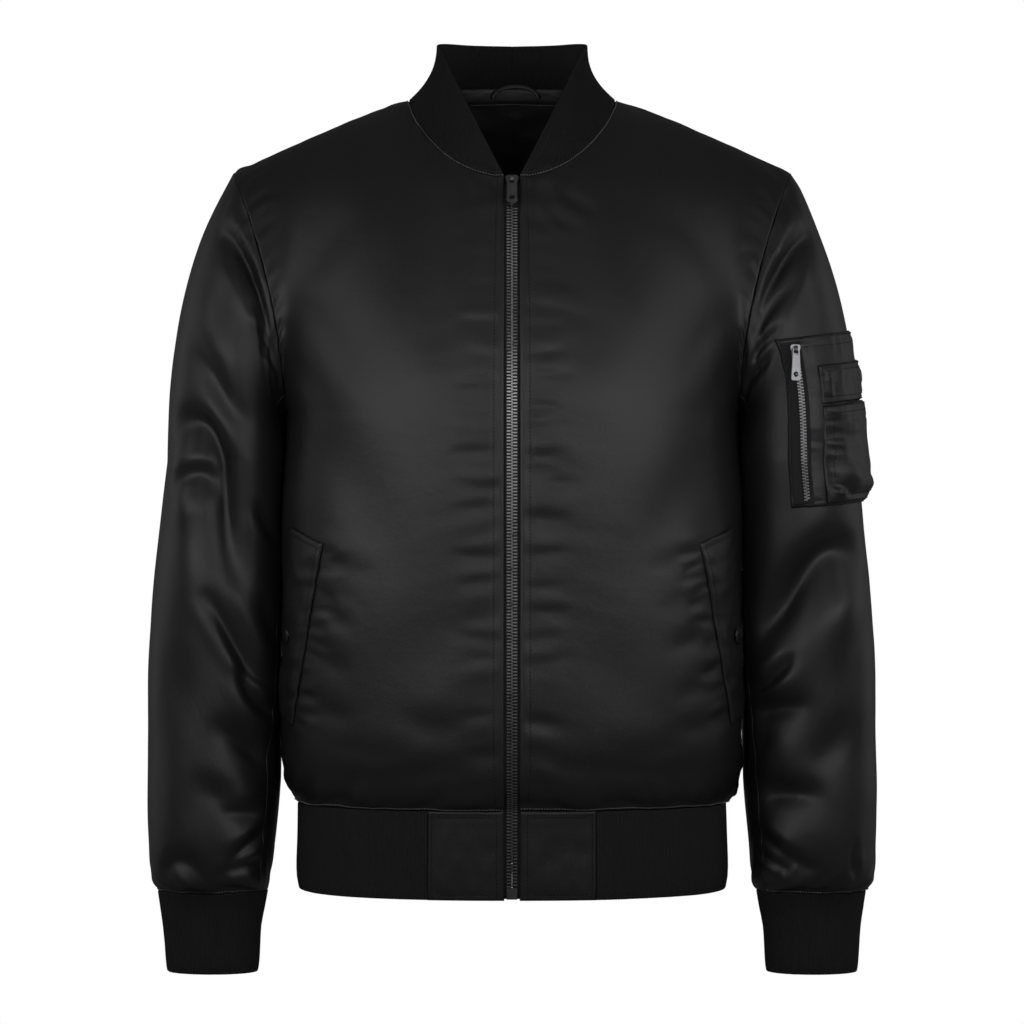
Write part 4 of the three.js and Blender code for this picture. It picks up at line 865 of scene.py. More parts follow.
turns, phase = ribbed_stations(collar_point(mix(-180, 180, share), np.full(share.shape, 0.35)))
turns = mix(-180, 180, turns)
rows = np.array([0, 0.01, 0.03, 0.07, 0.13, 0.2, 0.28, 0.37, 0.46, 0.55, 0.64, 0.73, 0.81, 0.88, 0.93, 0.965,
                 0.982, 0.992, 1])
COLLAR = collar_point(turns[None, :], rows[:, None])
piece = rib_wall("rib_collar", COLLAR, phase, -1, "v0 v1", 80)
sewn(piece, COLLAR, ["collar"], [KNIT, KNIT])

for name, side in SIDE.items():
    full = mix(0, 2 * np.pi, share)
    turns, phase = ribbed_stations(sleeve_ring(CUFF, full, np.full(share.shape, -690.0)), closed=True)
    heights = np.array([-722, -721.6, -721, -720, -717, -713, -707, -700, -692, -684, -676, -669, -663, -658,
                        -655.6, -654.6, -654.1])
    cuff = sleeve_ring(CUFF, mix(0, 2 * np.pi, turns)[None, :], heights[:, None] + 0 * turns[None, :])
    cuff = cuff * (side, 1, 1)
    piece = rib_wall(f"rib_cuff_{name}", cuff, phase, -side, "v0 v1", 84 + side, closed=True)
    sewn(piece, cuff, [f"cuff_{name}"], [KNIT, KNIT], closed=True)


def hem_point(turn, z):
    """Round the hem: 0 is the centre front, 1 the left side, 2 the centre back and 3 the right side."""
    turn, z = np.broadcast_arrays(turn, z)
    away = np.minimum(turn, 4 - turn)
    front = body_ring(HEM, "front", np.minimum(away, 1), z)
    back = body_ring(HEM, "back", np.minimum(2 - away, 1), z)
    point = np.where((away <= 1)[..., None], front, back)
    return point * places(np.where(turn > 2, -1, 1), 1, 1)


HEM_HALF = 178.5  # half the hem's width at mid height, and how square its rings are
HEM_SQUARE = 2.3
TAB_TURN = np.arcsin(((TAB_X - ZIP_EDGE) / (HEM_HALF - ZIP_EDGE)) ** (HEM_SQUARE / 2)) / QUARTER
turns, phase = ribbed_stations(hem_point(mix(TAB_TURN, 4 - TAB_TURN, share), np.full(share.shape, -620.0)))
turns = mix(TAB_TURN, 4 - TAB_TURN, turns)
heights = np.array([-653, -652.6, -652, -651, -648, -643, -636, -628, -619, -610, -601, -593, -587, -583.4,
                    -582, -581.4])
hem = hem_point(turns[None, :], heights[:, None])
piece = rib_wall("rib_hem", hem, phase, 1, "v0 v1", 88)
sewn(piece, hem, ["hem_rib"], [KNIT, KNIT])


# Satin tabs: a doubled piece of the body satin at each front end of the hem band, stitched round its edge.
STITCH = {"dark": 2.9, "painted_highlight": 0.8 * 2.9}  # from one stitch to the next
THREAD = {"dark": (2.2, 0.38), "painted_highlight": (1.9, 0.6)}  # length and radius of one stitch


def webbing(name, low, high):
    """Woven tape or thread: matt, with a fine cross weave."""
    made = Finish(name)
    cloth = made.place()
    weave = made.noise(made.stretched(cloth, (1100, 1100, 1), 0.78), 1.0, 1.0)
    made.set(
        Base_Color=made.blend(weave, (*low, 1), (*high, 1)),
        Roughness=0.72 + weave * 0.2,
        Normal=made.bump(weave, 0.00025),
    )
    return made.set(Specular_IOR_Level=0.3)


WEBBING = webbing("zip_tape", (0.009, 0.009, 0.0095), (0.028, 0.028, 0.03))
THREADS = {
    # Near-black thread, darker than the satin: partly its own colour and partly painted shade, standing in
    # for the shade in the stitch holes.
    "dark": webbing("thread_black_and_painted_shade", (0.002, 0.002, 0.002), (0.007, 0.007, 0.0075)),
    # Grey thread: its light colour is a painted highlight, the light that the raised edges of the seams
    # catch.
    "painted_highlight": webbing("thread_painted_highlight", (0.08, 0.08, 0.082), (0.2, 0.2, 0.205)),
}


def at_shares(grid, us, vs, u, v):
    """Points of a finished grid at parameters between its stations, joined by straight lines."""
    a = np.interp(u, us, np.arange(len(us)))
    b = np.interp(v, vs, np.arange(len(vs)))
    i = np.clip(np.floor(a).astype(int), 0, len(us) - 2)
    j = np.clip(np.floor(b).astype(int), 0, len(vs) - 2)
    s = (a - i)[..., None]
    t = (b - j)[..., None]
    low = mix(grid[j, i], grid[j, i + 1], s)
    high = mix(grid[j + 1, i], grid[j + 1, i + 1], s)
    return mix(low, high, t)


def repeated(name, shape, faces, centres, ways, outs):
    """Copies of one small shape: its x lies along each way, its z along each outward line, at a centre."""
    aside = np.cross(outs, ways)
    basis = np.stack([ways, aside, outs], -1)
    points = np.einsum("nij,kj->nki", basis, shape) + centres[:, None]
    corner = faces[None] + (np.arange(len(centres)) * len(shape))[:, None, None]
    return mesh_of(name, points.reshape(-1, 3), [corner.reshape(-1, faces.shape[1])],
                   np.tile(shape[:, :2], (len(centres), 1)))


def tube_faces(rows, count):
    """Faces between the rows of a tube, each row closed round."""
    index = np.arange(rows * count).reshape(rows, count)
    index = np.hstack([index, index[:, :1]])
    return np.stack([index[:-1, :-1], index[:-1, 1:], index[1:, 1:], index[1:, :-1]], -1).reshape(-1, 4)


def spindle(length, radius, rings=4, sides=5):
    """A stitch: rings of a few sides along x, thinner at both ends, that dips at its ends."""
    x = np.linspace(-1, 1, rings)
    thick = radius * np.sqrt(1.04 - x**2)
    angle = np.arange(sides) * 2 * np.pi / sides
    points = places((x * length / 2)[:, None], thick[:, None] * np.cos(angle),
                    thick[:, None] * np.sin(angle) - (x**2 * radius * 0.9)[:, None])
    return points.reshape(-1, 3), tube_faces(rings, sides)[:, [0, 3, 2, 1]]


SEAMS = {"dark": [], "painted_highlight": []}


def stitched(path, normals, lift=0.1, tone="dark"):
    """Marks a row of stitches along a path that lies on a piece, with the normals of the piece there. Dark
    thread sinks into the cloth, and the grey thread stands on a seam's edge; its light colour is a painted
    highlight, the light that the raised edge of a seam catches."""
    run = path_run(path)
    at = np.arange(STITCH["dark"] / 2, run[-1], STITCH[tone])
    way = unit(along_path(path, run, at + 0.8) - along_path(path, run, at - 0.8))
    out = along_path(normals, run, at)
    out = unit(out - (out * way).sum(1, keepdims=True) * way)
    SEAMS[tone].append((along_path(path, run, at) + out * lift, way, out))


def rim_path(grid, normals, inset, edge):
    """A path a number of grid lines inside one edge of a grid, and the normals along it."""
    back = slice(-inset - 1, inset - 1 if inset > 1 else None, -1)
    line = {"foot": (inset, slice(inset, -inset)), "outer": (slice(inset, -inset), -inset - 1),
            "head": (-inset - 1, back), "inner": (back, inset)}[edge]
    return grid[line], normals[line]


for name, side in SIDE.items():
    us = TAB_TURN * np.linspace(0, 1, 29)
    heights = np.concatenate([[-653, -652.5, -651.6, -650.2], np.linspace(-648, -586, 25),
                              [-583.8, -582.6, -581.7, -581.1]])
    grid = hem_point(us[None, :], heights[:, None])
    rim = rim_distance(grid)
    dent = -0.5 * np.exp(-(((rim - 5) / 1.4) ** 2))
    rise = dent + 0.6 * swell(grid[..., 0] / 17, grid[..., 2] / 24, 90 + side) * ease(rim, 0, 12)
    rise = rise + 0.3 * swell(grid[..., 0] / 7, grid[..., 2] / 12, 92 + side) * ease(rim, 0, 6)
    grid = raised(grid, 1, rise + 0.4) * (side, 1, 1)
    normals = outwards(grid, side)
    piece = wall(f"satin_tab_{name}", grid, side, SHELL, "u0 u1 v0 v1")
    sewn(piece, grid, [f"hem_tab_{name}"], [SATIN, SATIN])
    for inset, edge in ((2, "inner"), (2, "outer"), (4, "foot"), (4, "head")):
        stitched(*rim_path(grid, normals, inset, edge), 0.15)


# Front zip: two woven tapes sewn under the folded edges of the fronts, with a row of dark metal teeth on
# each. Top stops, box, slider and pull are cast metal.
TOOTH_PITCH = 2.6
TEETH_DEPTH = 3.1  # how far the teeth lie behind the line of the fronts, and the tapes behind the cloth
TAPE_DEPTH = 3.0
CHAIN_FOOT = -642.4  # heights of the two ends of the teeth
CHAIN_HEAD = -76.4


def zip_line(z):
    """Depth of the front's centre line: that of the rings below the underarm, and above it a curve in to
    the neckline, as the power 2.3 of the share of height."""
    body = np.where(z <= HEM_SEAM, curve(HEM, "front", z), curve(TRUNK, "front", z))
    up = np.clip((z - UNDERARM) / (NECK_FRONT[1] - UNDERARM), 0, 1)
    return np.where(z <= UNDERARM, -body, mix(-curve(TRUNK, "front", UNDERARM), NECK_FRONT[0], up**2.3))


def metal(name, low, high, roughness, metallic=1.0, coat=0.0):
    """Metal with a faint uneven surface: small patches vary its colour and its roughness."""
    made = Finish(name)
    where = made.place("Object")
    spots = made.noise(where, 900.0, 2.0)
    clouds = made.noise(where, 160.0, 2.0)
    made.set(
        Base_Color=made.blend(spots * 0.5 + clouds * 0.5, (*low, 1), (*high, 1)),
        Roughness=roughness - 0.08 + clouds * 0.16,
        Normal=made.bump(spots, 0.00004),
    )
    return made.set(Metallic=metallic, Coat_Weight=coat)


def fasten(piece, finish, node, body="jacket"):
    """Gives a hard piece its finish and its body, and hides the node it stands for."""
    piece.data.materials.append(finish)
    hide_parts(node)
    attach(piece, body)


TEETH_METAL = metal("zip_teeth", (0.2, 0.2, 0.205), (0.42, 0.42, 0.43), 0.3)
CAST_METAL = metal("zip_cast", (0.14, 0.14, 0.145), (0.27, 0.27, 0.28), 0.32)
SNAP_METAL = metal("snap_lacquer", (0.025, 0.025, 0.026), (0.06, 0.06, 0.062), 0.26, 0.8, 0.4)

for name, side in SIDE.items():
    heights = np.linspace(-652, -75, 161)
    across = np.array([0.4, 0.7, 3.0, 6.0, 9.0, 12.0, 14.0, 14.7, 15.0])
    tape = places(across[None, :], zip_line(heights)[:, None], heights[:, None])
    tape = raised(tape, 1, np.full(tape.shape[:2], -TAPE_DEPTH)) * (side, 1, 1)
    piece = wall(f"tape_front_{name}", tape, side, 1.0, "u0 u1 v0 v1", roll=(0.4, 0.5))
    sewn(piece, tape, [f"zip_tape_{name}"], [WEBBING, WEBBING])


def tooth(reach, width, thick):
    """One tooth along +X from the tape's edge to the middle: a block, a narrower neck and a round head."""
    stations = np.array([[0, 1.0, 1.0], [0.42, 1.0, 1.0], [0.6, 0.62, 0.9], [0.86, 0.78, 0.9],
                         [1, 0.4, 0.6]])
    square = np.array([[-1, -1], [1, -1], [1, 1], [-1, 1]]) / 2
    x = np.repeat(stations[:, :1] * reach, 4, axis=1)
    y = stations[:, 1:2] * square[:, 0] * width
    z = stations[:, 2:3] * square[:, 1] * thick
    faces = np.concatenate([tube_faces(5, 4)[:, [1, 2, 3, 0]], [[3, 2, 1, 0], [16, 17, 18, 19]]])
    return places(x, y, z).reshape(-1, 3), faces


def tooth_rows(name, centre, way, out, pitch, reach, width, thick, start):
    """Teeth of both tapes along a line, in turn from the left and from the right. Each starts at a distance
    from the line and reaches back over it."""
    run = path_run(centre)
    rows = []
    for side, first in ((1, pitch * 0.25), (-1, pitch * 0.75)):
        at = np.arange(first, run[-1], pitch)
        at_way, at_out, at_centre = (along_path(line, run, at) for line in (way, out, centre))
        aside = unit(np.cross(at_way, at_out))
        outward = unit(np.cross(aside, at_way))
        outward = outward * np.sign((outward * at_out).sum(1, keepdims=True))
        rows.append((at_centre - aside * side * start, aside * side, outward))
    return repeated(name, *tooth(reach, width, thick), *map(np.concatenate, zip(*rows)))


heights = np.linspace(CHAIN_FOOT, CHAIN_HEAD, 400)
line = places(0, zip_line(heights), heights)
way = unit(np.gradient(line, axis=0))
out = np.cross(way, (-1.0, 0, 0))
out = out * np.sign(-out[:, 1:2])
teeth = tooth_rows("teeth_front", line - out * TEETH_DEPTH, way, out, TOOTH_PITCH,
                   reach=5.0, width=1.15, thick=2.9, start=4.2)
teeth.data.shade_flat()
fasten(teeth, TEETH_METAL, "zip_chain")


# Seams of the body: grey thread on the edges of the neck, hem and cuff seams paints the highlight that their
# raised edges catch, and a row of dark stitches beside each front edge holds the tape of the zip.
SEAM_ROW = 3  # grid lines from a seam to the stitches on its edge
stitched(BACK[SEAM_ROW], outwards(BACK, -1)[SEAM_ROW], 0.25, "painted_highlight")
neck = np.flatnonzero(FRONT_US <= NECK_SHARE)
for name, side in SIDE.items():
    sleeve = SLEEVES["top", name]
    stitched(sleeve[-1 - SEAM_ROW], outwards(sleeve, side)[-1 - SEAM_ROW], 0.25, "painted_highlight")
    grid = FRONTS[name]
    normals = outwards(grid, side)
    stitched(grid[SEAM_ROW], normals[SEAM_ROW], 0.25, "painted_highlight")
    stitched(grid[-1 - SEAM_ROW, neck], normals[-1 - SEAM_ROW, neck], 0.25, "painted_highlight")
    v = np.linspace(0.012, 0.985, 600)
    row_x = body_half("front", FRONT_US, np.full(FRONT_US.shape, 0.3))[:, 0]
    u = np.full(v.shape, np.interp(PLACKET_STITCH, row_x, FRONT_US))
    stitched(at_shares(grid, FRONT_US, PANEL_VS, u, v), at_shares(normals, FRONT_US, PANEL_VS, u, v))


# Hand pockets: a slanted flap on each front, doubled and stitched round, sewn down along its inner edge
# and held by a black snap.
FLAP_WIDTH = 42
FLAP_RISE = 13  # how far its outer edge lies above its sewn line


def crossing(values, target):
    """Where rising values first pass a target along their last axis, as a share of that axis."""
    last = values.shape[-1] - 1
    k = np.clip((values < target[..., None]).sum(-1) - 1, 0, last - 1)
    low = np.take_along_axis(values, k[..., None], -1)[..., 0]
    high = np.take_along_axis(values, k[..., None] + 1, -1)[..., 0]
    return (k + (target - low) / np.maximum(high - low, 1e-9)) / last


def flap_place(out, along):
    """The parameters of the front under a place on the flap: out is measured along the cloth from the
    slanted sewn line, at the height of that place. Past the side seam the ring is carried straight on, at
    300 mm to a share of 1, so that every place is found."""
    (top_x, top_z), (foot_x, foot_z) = FLAP_LINE
    x = mix(top_x, foot_x, along)
    z = mix(top_z, foot_z, along) + FLAP_RISE * out
    v = (z - HEM_SEAM) / (UNDERARM - HEM_SEAM) * UNDERARM_SHARE
    dense = np.linspace(0.3, 1.3, 400)
    turned = np.minimum(dense, 1)
    beyond = np.maximum(dense - 1, 0)
    ring = body_half("front", turned, v[..., None])
    steps = np.linalg.norm(np.diff(ring, axis=-2), axis=-1)
    run = np.concatenate([np.zeros(v.shape + (1,)), np.cumsum(steps, -1)], -1) + beyond * 300
    start = crossing(ring[..., 0] + beyond, x) * (len(dense) - 1)
    k = np.clip(np.floor(start).astype(int), 0, len(dense) - 2)[..., None]
    low = np.take_along_axis(run, k, -1)[..., 0]
    high = np.take_along_axis(run, k + 1, -1)[..., 0]
    reached = mix(low, high, start - k[..., 0]) + FLAP_WIDTH * out
    return np.clip(mix(0.3, 1.3, crossing(run, reached)), 0, 1), v


for name, side in SIDE.items():
    out, along = np.meshgrid(np.linspace(0, 1, 21), np.linspace(1, 0, 61))
    u, v = flap_place(out, along)
    flap = at_shares(FRONTS[name], FRONT_US, PANEL_VS, u, v)
    base_normal = at_shares(outwards(FRONTS[name], side), FRONT_US, PANEL_VS, u, v)
    rim = rim_distance(flap)
    lift = 2.7 - 0.45 * np.exp(-(((rim - 5) / 1.5) ** 2)) + 0.6 * swell(out * 3, along * 9, 95 + side)
    lift = lift + gathers(flap, "u0", 8, 1.1, 97 + side, 8) + gathers(flap, "u1", 9, 0.6, 99 + side, 6)
    lift = lift - 0.5 * (1 - ease(out, 0, 0.12))
    flap = flap + base_normal * lift[..., None]
    piece = wall(f"satin_flap_{name}", flap, side, 1.8, "u0 u1 v0 v1", roll=(1.1, 2.0))
    sewn(piece, flap, [f"pocket_flap_{name}"], [SATIN, SATIN])
    normals = outwards(flap, side)
    for edge in ("outer", "inner", "foot", "head"):
        stitched(*rim_path(flap, normals, 2, edge))


# Sleeve pocket: a flat satin patch on the left sleeve with a slanted zip beside its front edge, and over
# its outer half a pen pocket with a narrow flap, a snap and a bag that sags at its foot.
PATCH_LIFT = 2.7  # stand of the patch's face above the sleeve
# Columns of the sleeve at its two side edges, and heights of its corners, front then outer.
PATCH = {"front": 6, "outer": -1, "upper": (-202, -189), "lower": (-339, -331)}
# Places of the pieces on it, as shares: from and to across it, then from and to up it.
ZIP_STRIP = (0.02, 0.155, 0.02, 0.975)
ZIP_AT = 0.106
PEN_FLAP = (0.25, 1.0, 0.6, 0.825)
PEN_BAG = (0.25, 1.0, 0.01, 0.59)

SLEEVE_NORMALS = outwards(SLEEVES["top", "left"], 1)


def patch_place(out, rise):
    """The turn and length of the sleeve under a place on the patch: its edges follow lines of the sleeve,
    and its height at each corner is set."""
    turn = mix(PATCH["front"], PATCH["outer"], out) * TURN_STEP
    z = mix(mix(*PATCH["lower"], out), mix(*PATCH["upper"], out), rise)
    heights = sleeve_point(turn[..., None], np.linspace(0, SLEEVE_LENGTH, 700))[..., 2]
    return turn, crossing(-heights, -z) * SLEEVE_LENGTH


def on_patch(us, vs):
    """Points and normals of the sleeve under a grid of places on the patch."""
    out, rise = np.meshgrid(us, vs)
    turn, down = patch_place(out, rise)
    where = (SLEEVE_TURNS["top"], downs, turn, down)
    return at_shares(SLEEVES["top", "left"], *where), at_shares(SLEEVE_NORMALS, *where), out, rise


def pocket_piece(name, nodes, region, counts, lift, thick, seed, crumple, finishes=None,
                 roll=(1.0, 1.8)):
    """A piece of the pocket over a region of the patch, raised by lift and softly crumpled, with puckers
    from its four seams."""
    us = np.linspace(region[0], region[1], counts[0])
    vs = np.linspace(region[2], region[3], counts[1])
    points, normals, out, rise = on_patch(us, vs)
    rim = rim_distance(points)
    height = lift(out, rise, rim) + crumple * swell(out * 7, rise * 8, seed) * ease(rim, 0, 8)
    for k, edge in enumerate(("u0", "u1", "v0", "v1")):
        height = height + crumple * gathers(points, edge, 5, 0.9, seed + 20 + k, 7)
    points = points + normals * height[..., None]
    piece = wall(name, points, 1, thick, "u0 u1 v0 v1", roll=roll)
    sewn(piece, points, nodes, finishes or [SATIN, SATIN])
    return points, outwards(points, 1)


def double_row(points, normals, edges):
    """Two rows of stitches side by side along the named edges."""
    for inset in (1, 5):
        for edge in edges.split():
            stitched(*rim_path(points, normals, inset, edge))


patch, patch_normals = pocket_piece(
    "satin_patch", ["sleeve_patch"], (0, 1, 0, 1), (73, 81),
    lambda out, rise, rim: PATCH_LIFT - 0.6 * np.exp(-(((rim - 4) / 1.5) ** 2)), 3.0, 101, 0.8)
double_row(patch, patch_normals, "foot head inner")
flap, flap_normals = pocket_piece(
    "satin_pen_flap", ["pen_flap"], PEN_FLAP, (53, 33),
    lambda out, rise, rim: 5.0 - 0.6 * np.exp(-(((rim - 4) / 1.3) ** 2)), 2.6, 103, 0.8)
double_row(flap, flap_normals, "head foot inner")


def bag_lift(out, rise, rim):
    """The bag swells from its sewn edges, hangs fullest near its foot, and its top band is stitched."""
    a = (out - PEN_BAG[0]) / (PEN_BAG[1] - PEN_BAG[0])
    b = (rise - PEN_BAG[2]) / (PEN_BAG[3] - PEN_BAG[2])
    stand = 7.5 * ease(np.minimum(a, 1 - a), 0, 0.2) * ease(b, 0, 0.16) * (1 - 0.75 * b)
    sag = folds([([(0.02, 0.5), (0.1, 0.2), (0.34, 0.06), (0.7, 0.1)], 0.05, 3.2, 0.4, 0.5),
                 ([(0.05, 0.74), (0.3, 0.66), (0.6, 0.7)], 0.05, 1.2, 0.4, 0.4),
                 ([(0.95, 0.5), (0.8, 0.3), (0.6, 0.22)], 0.05, 1.6, 0.4, 0.4)], a, b)
    band = -0.5 * np.exp(-(((b - 0.84) / 0.02) ** 2))
    return 4.6 + stand + sag * ease(b, 0, 0.1) * ease(1 - b, 0, 0.1) + band


bag, bag_normals = pocket_piece("satin_pen_bag", ["pen_bag"], PEN_BAG, (57, 61), bag_lift, 2.2, 105, 0.9)
double_row(bag, bag_normals, "head inner foot")
pocket_piece(
    "tape_sleeve", ["sleeve_zip_tape"], ZIP_STRIP, (17, 77), lambda out, rise, rim: 3.9, 0.7, 107, 0.1,
    [WEBBING, WEBBING], (0.3, 0.6))
points, normals, _, _ = on_patch(np.array([ZIP_AT]), np.linspace(0.04, 0.955, 160))
line = points[:, 0] + normals[:, 0] * 4.9
way = unit(np.gradient(line, axis=0))
teeth = tooth_rows("teeth_sleeve", line, way, normals[:, 0], 2.5, reach=3.1, width=1.1, thick=1.4, start=2.4)
teeth.data.shade_flat()
fasten(teeth, CAST_METAL, "sleeve_zip_chain")


# Inside the back neck: satin lining below the neck seam, a binding over the seam, and the loop the jacket
# hangs by.
lining_us = back_ws[np.abs(back_ws) <= 0.3]
lining_us = lining_us[: (len(lining_us) - 1) // 4 * 4 + 1]
lining_rows = (PANEL_VS > 0.8) & (PANEL_VS < 0.982)
lining_vs = PANEL_VS[lining_rows]
lining_vs = lining_vs[: (len(lining_vs) - 1) // 4 * 4 + 1]
half = body_half("back", np.abs(lining_us)[None, :], lining_vs[:, None])
half = half * places(np.where(lining_us < 0, -1, 1), 1, 1)[None]
x = half[..., 0]
z = half[..., 2]
creases = folds([
    ([(-70, -8), (-56, -22), (-34, -30)], 6, 2.0, 0.5, 0.6),
    ([(-52, -2), (-36, -14), (-10, -17)], 5, 1.8, 0.5, 0.6),
    ([(60, -6), (44, -18), (20, -22)], 6, 2.0, 0.5, 0.6),
    ([(74, -14), (60, -32), (36, -40)], 7, 2.0, 0.5, 0.6),
    ([(30, 2), (12, -6), (-8, -5)], 4, 1.2, 0.5, 0.6),
], x, z)
lining = raised(half, -1, -4.6 + creases * 0.6 + 0.5 * swell(x / 16, z / 12, 110))
piece = wall("lining_back", lining, -1, 1.2, "u0 u1 v0 v1", roll=(0.4, 0.8), stride=1)
sewn(piece, lining, ["back_lining"], [LINING, LINING])

binding = collar_point(np.linspace(-79, 79, 161)[None, :], np.linspace(-0.07, 0.2, 17)[:, None])
rim = np.min([edge_distances(binding)[edge] for edge in ("v0", "v1")], axis=0)
bulge = 0.5 * ease(rim, 0, 3) + 0.2 * swell(np.linspace(0, 30, 161)[None, :] + 0 * rim, rim / 6, 112)
binding = raised(binding, -1, -3.7 - bulge)
# Grey thread along the binding's seam: its light colour is a painted highlight.
stitched(binding[8], outwards(binding, -1)[8], 0.1, "painted_highlight")
piece = wall("lining_binding", binding, -1, 1.2, "u0 u1 v0 v1", roll=(0.2, 0.8), stride=1)
sewn(piece, binding, ["neck_binding"], [LINING, LINING])


def tube(name, grid):
    """A closed tube from the rows of a grid, with a flat face at each end."""
    rows, count = grid.shape[:2]
    points = grid.reshape(-1, 3)
    ends = [np.arange(count)[::-1][None], ((rows - 1) * count + np.arange(count))[None]]
    return mesh_of(name, points, [tube_faces(rows, count)] + ends, points[:, :2])


LOOP_RADIUS = (19.2, 10.6)  # across and up
LOOP_BAND = (1.9, 0.9)  # half its width and half its thickness
low, high = (np.array(corner) * 1000 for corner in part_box("hanger_loop"))
middle = (low + high) / 2
turn = np.linspace(0, np.pi, 49)[:, None]
section = np.linspace(0, 2 * np.pi, 13)[:-1]
band = places(middle[0] + LOOP_RADIUS[0] * np.cos(turn) + LOOP_BAND[0] * np.cos(section) * np.cos(turn),
              middle[1] + LOOP_BAND[1] * np.sin(section) + 0 * turn,
              low[2] + 0.4 + LOOP_RADIUS[1] * np.sin(turn) + LOOP_BAND[0] * np.cos(section) * np.sin(turn))
fasten(tube("loop_hanger", band), LINING, "hanger_loop")


# Stitches: every row marked above is one thread of sewing cotton: near black in the topstitching, darker
# than the cloth so that it also paints the shade of the stitch holes, and thicker and grey on the seams'
# edges, where the grey is a painted highlight.
for tone, rows in SEAMS.items():
    threads = repeated(f"stitches_{tone}", *spindle(*THREAD[tone]), *map(np.concatenate, zip(*rows)))
    threads.data.materials.append(THREADS[tone])
    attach(threads, "jacket")


# Metal trims keep the shapes of their solids; their sharp edges are rounded and polished by handling.
def polished(node, body="jacket"):
    """A copy of a node's mesh with its corners merged, its edges bevelled and its flats kept flat."""
    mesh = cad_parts[node].data.copy()
    mesh.materials.clear()
    made = bpy.data.objects.new(f"metal_{node}", mesh)
    bpy.context.scene.collection.objects.link(made)
    weld = made.modifiers.new("weld", "WELD")
    weld.merge_threshold = 0.00002
    bevel = made.modifiers.new("bevel", "BEVEL")
    bevel.width = 0.00022
    bevel.segments = 2
    bevel.limit_method = "ANGLE"
    bevel.angle_limit = 0.6
    fasten(made, CAST_METAL, node, body)


for node in ("zip_stop_left", "zip_stop_right", "zip_box", "zip_slider", "sleeve_zip_slider"):
    polished(node)
polished("zip_pull", "front_pull")
polished("sleeve_zip_pull", "sleeve_pull")

SNAP_RADIUS = 7.5
SNAP_HEIGHT = 2.5
# From the foot of the rolled rim to the middle of the dome, as shares of the radius and of the height.
SNAP_PROFILE = np.array([[0.93, 0], [1, 0.12], [1, 0.3], [0.965, 0.42], [0.9, 0.4], [0.86, 0.5],
                         [0.74, 0.72], [0.55, 0.9], [0.3, 0.98], [0.08, 1.0]])


def snap(name, node):
    """A snap cap: its profile turned about the thin axis of the solid, outwards from the solid's foot."""
    low, high = (np.array(corner) * 1000 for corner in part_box(node))
    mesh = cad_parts[node].data
    points = np.empty(len(mesh.vertices) * 3)
    mesh.vertices.foreach_get("co", points)
    points = points.reshape(-1, 3) * 1000
    centre = (low + high) / 2
    thin = np.linalg.svd(points - points.mean(0), full_matrices=False)[2][2]
    axis = thin * np.sign((thin * (centre - (0, 0, centre[2]))).sum())
    foot = points.mean(0) + axis * ((points @ axis).min() - points.mean(0) @ axis)
    first = unit(np.cross(axis, (0, 0, 1.0)))
    second = np.cross(axis, first)
    angle = np.arange(40)[None, :, None] * 2 * np.pi / 40
    radial = SNAP_PROFILE[:, :1, None] * SNAP_RADIUS * (np.cos(angle) * first + np.sin(angle) * second)
    grid = foot + radial + SNAP_PROFILE[:, 1:, None] * SNAP_HEIGHT * axis
    fasten(tube(name, grid), SNAP_METAL, node)


snap("snap_left", "pocket_snap_left")
snap("snap_right", "pocket_snap_right")
snap("snap_pen", "pen_snap")


# Studio: a white floor under a white backdrop. A wide low lamp on each side of the front lights chest and
# sleeves, larger ones stand at the flanks and sides, and one each above the front and behind fill the
# shade. The camera looks straight at the front, from the height of the middle of the jacket.
def softbox(name, place, aim, size, power):
    """A rectangular area light at a place in metres, turned towards a point."""
    light = bpy.data.lights.new(name, "AREA")
    light.shape = "RECTANGLE"
    light.size = size[0]
    light.size_y = size[1]
    light.energy = power
    lamp = bpy.data.objects.new(name, light)
    bpy.context.scene.collection.objects.link(lamp)
    lamp.location = place
    lamp.visible_camera = False
    lamp.rotation_euler = (Vector(place) - Vector(aim)).to_track_quat("Z", "Y").to_euler()


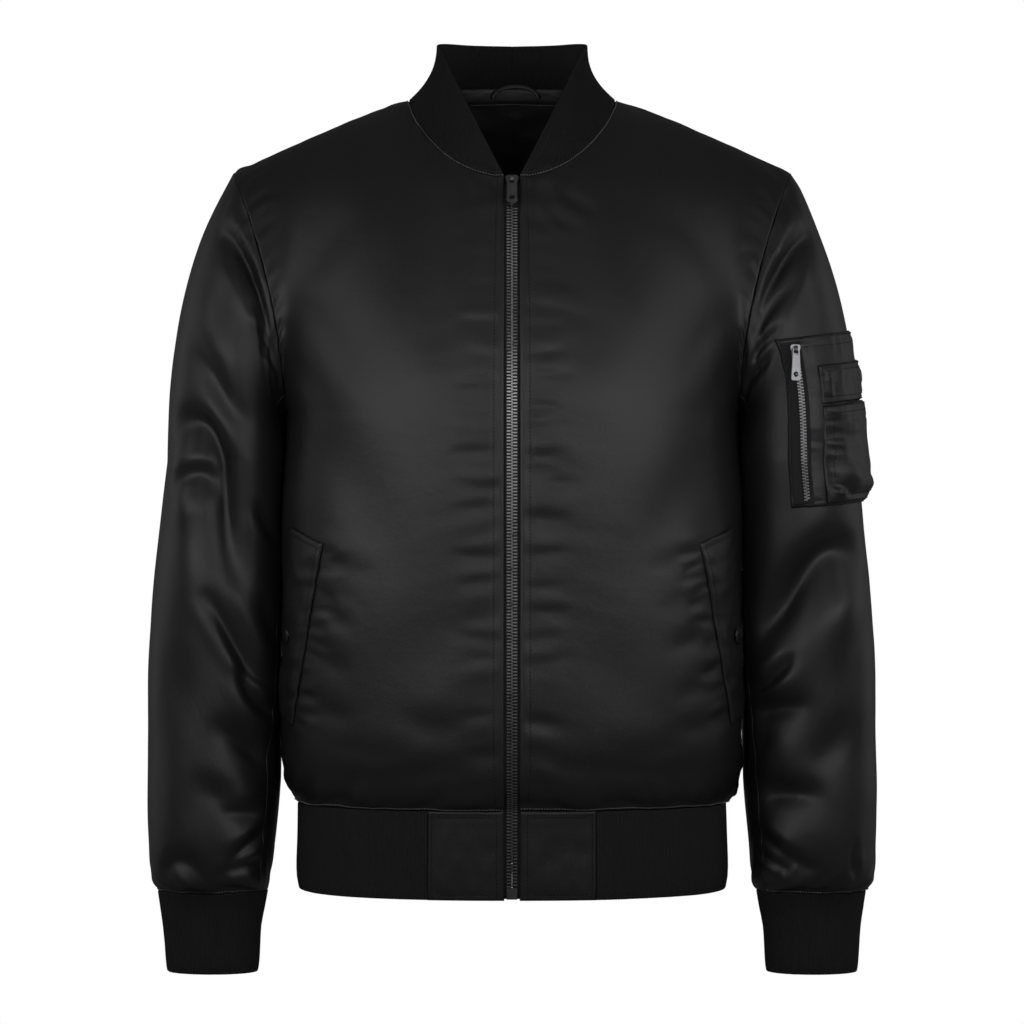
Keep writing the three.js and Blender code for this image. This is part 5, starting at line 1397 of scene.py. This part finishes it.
for hand, side in SIDE.items():
    softbox(f"light_key_{hand}", (side * 0.46, -0.78, -0.21), (side * 0.08, -0.12, -0.27), (0.9, 0.14),
            1.5)
    softbox(f"light_flank_{hand}", (side * 1.9, -0.8, 0.5), (side * 0.25, 0, -0.3), (1.2, 0.8), 3.2)
    softbox(f"light_side_{hand}", (side * 2.2, 0.9, 0.0), (side * 0.2, 0, -0.35), (1.6, 1.5), 2.6)
softbox("light_fill", (0, -2.6, 2.2), (0, 0, -0.1), (1.6, 1.2), 3)
softbox("light_rear", (0, 2.1, -0.15), (0, 0.1, -0.3), (0.56, 0.3), 9)

paper = Finish("paper")
paper.set(Base_Color=(0.85, 0.85, 0.85, 1), Roughness=0.9, Emission_Color=(1, 1, 1, 1),
          Emission_Strength=0.7)
floor = np.array([[-6, -5, -1.9], [6, -5, -1.9], [6, 7, -1.9], [-6, 7, -1.9]]) * 1000
ground = mesh_of("floor", floor, [np.array([[0, 1, 2, 3]])], floor[:, :2])
ground.data.materials.append(paper.material)
ground.visible_diffuse = False  # its glow shows to the camera alone and doesn't light the jacket
ground.visible_glossy = False

world = bpy.data.worlds.new("studio")
bpy.context.scene.world = world
world.use_nodes = True
nodes = world.node_tree.nodes
links = world.node_tree.links
nodes.clear()
seen = nodes.new("ShaderNodeLightPath")
either = nodes.new("ShaderNodeMixShader")
shown = nodes.new("ShaderNodeOutputWorld")
for place, strength in ((1, 0.085), (2, 1.0)):  # what the jacket is lit by, and what the camera sees
    sky = nodes.new("ShaderNodeBackground")
    sky.inputs["Color"].default_value = (1, 1, 1, 1)
    sky.inputs["Strength"].default_value = strength
    links.new(sky.outputs[0], either.inputs[place])
links.new(seen.outputs["Is Camera Ray"], either.inputs[0])
links.new(either.outputs[0], shown.inputs["Surface"])

view = bpy.data.cameras.new("camera")
view.lens = 127
view.sensor_width = 36
camera = bpy.data.objects.new("camera", view)
bpy.context.scene.collection.objects.link(camera)
camera.location = (0, -3, -0.342)
camera.rotation_euler = (QUARTER, 0, 0)
bpy.context.scene.camera = camera
bpy.context.scene.view_settings.view_transform = "Standard"
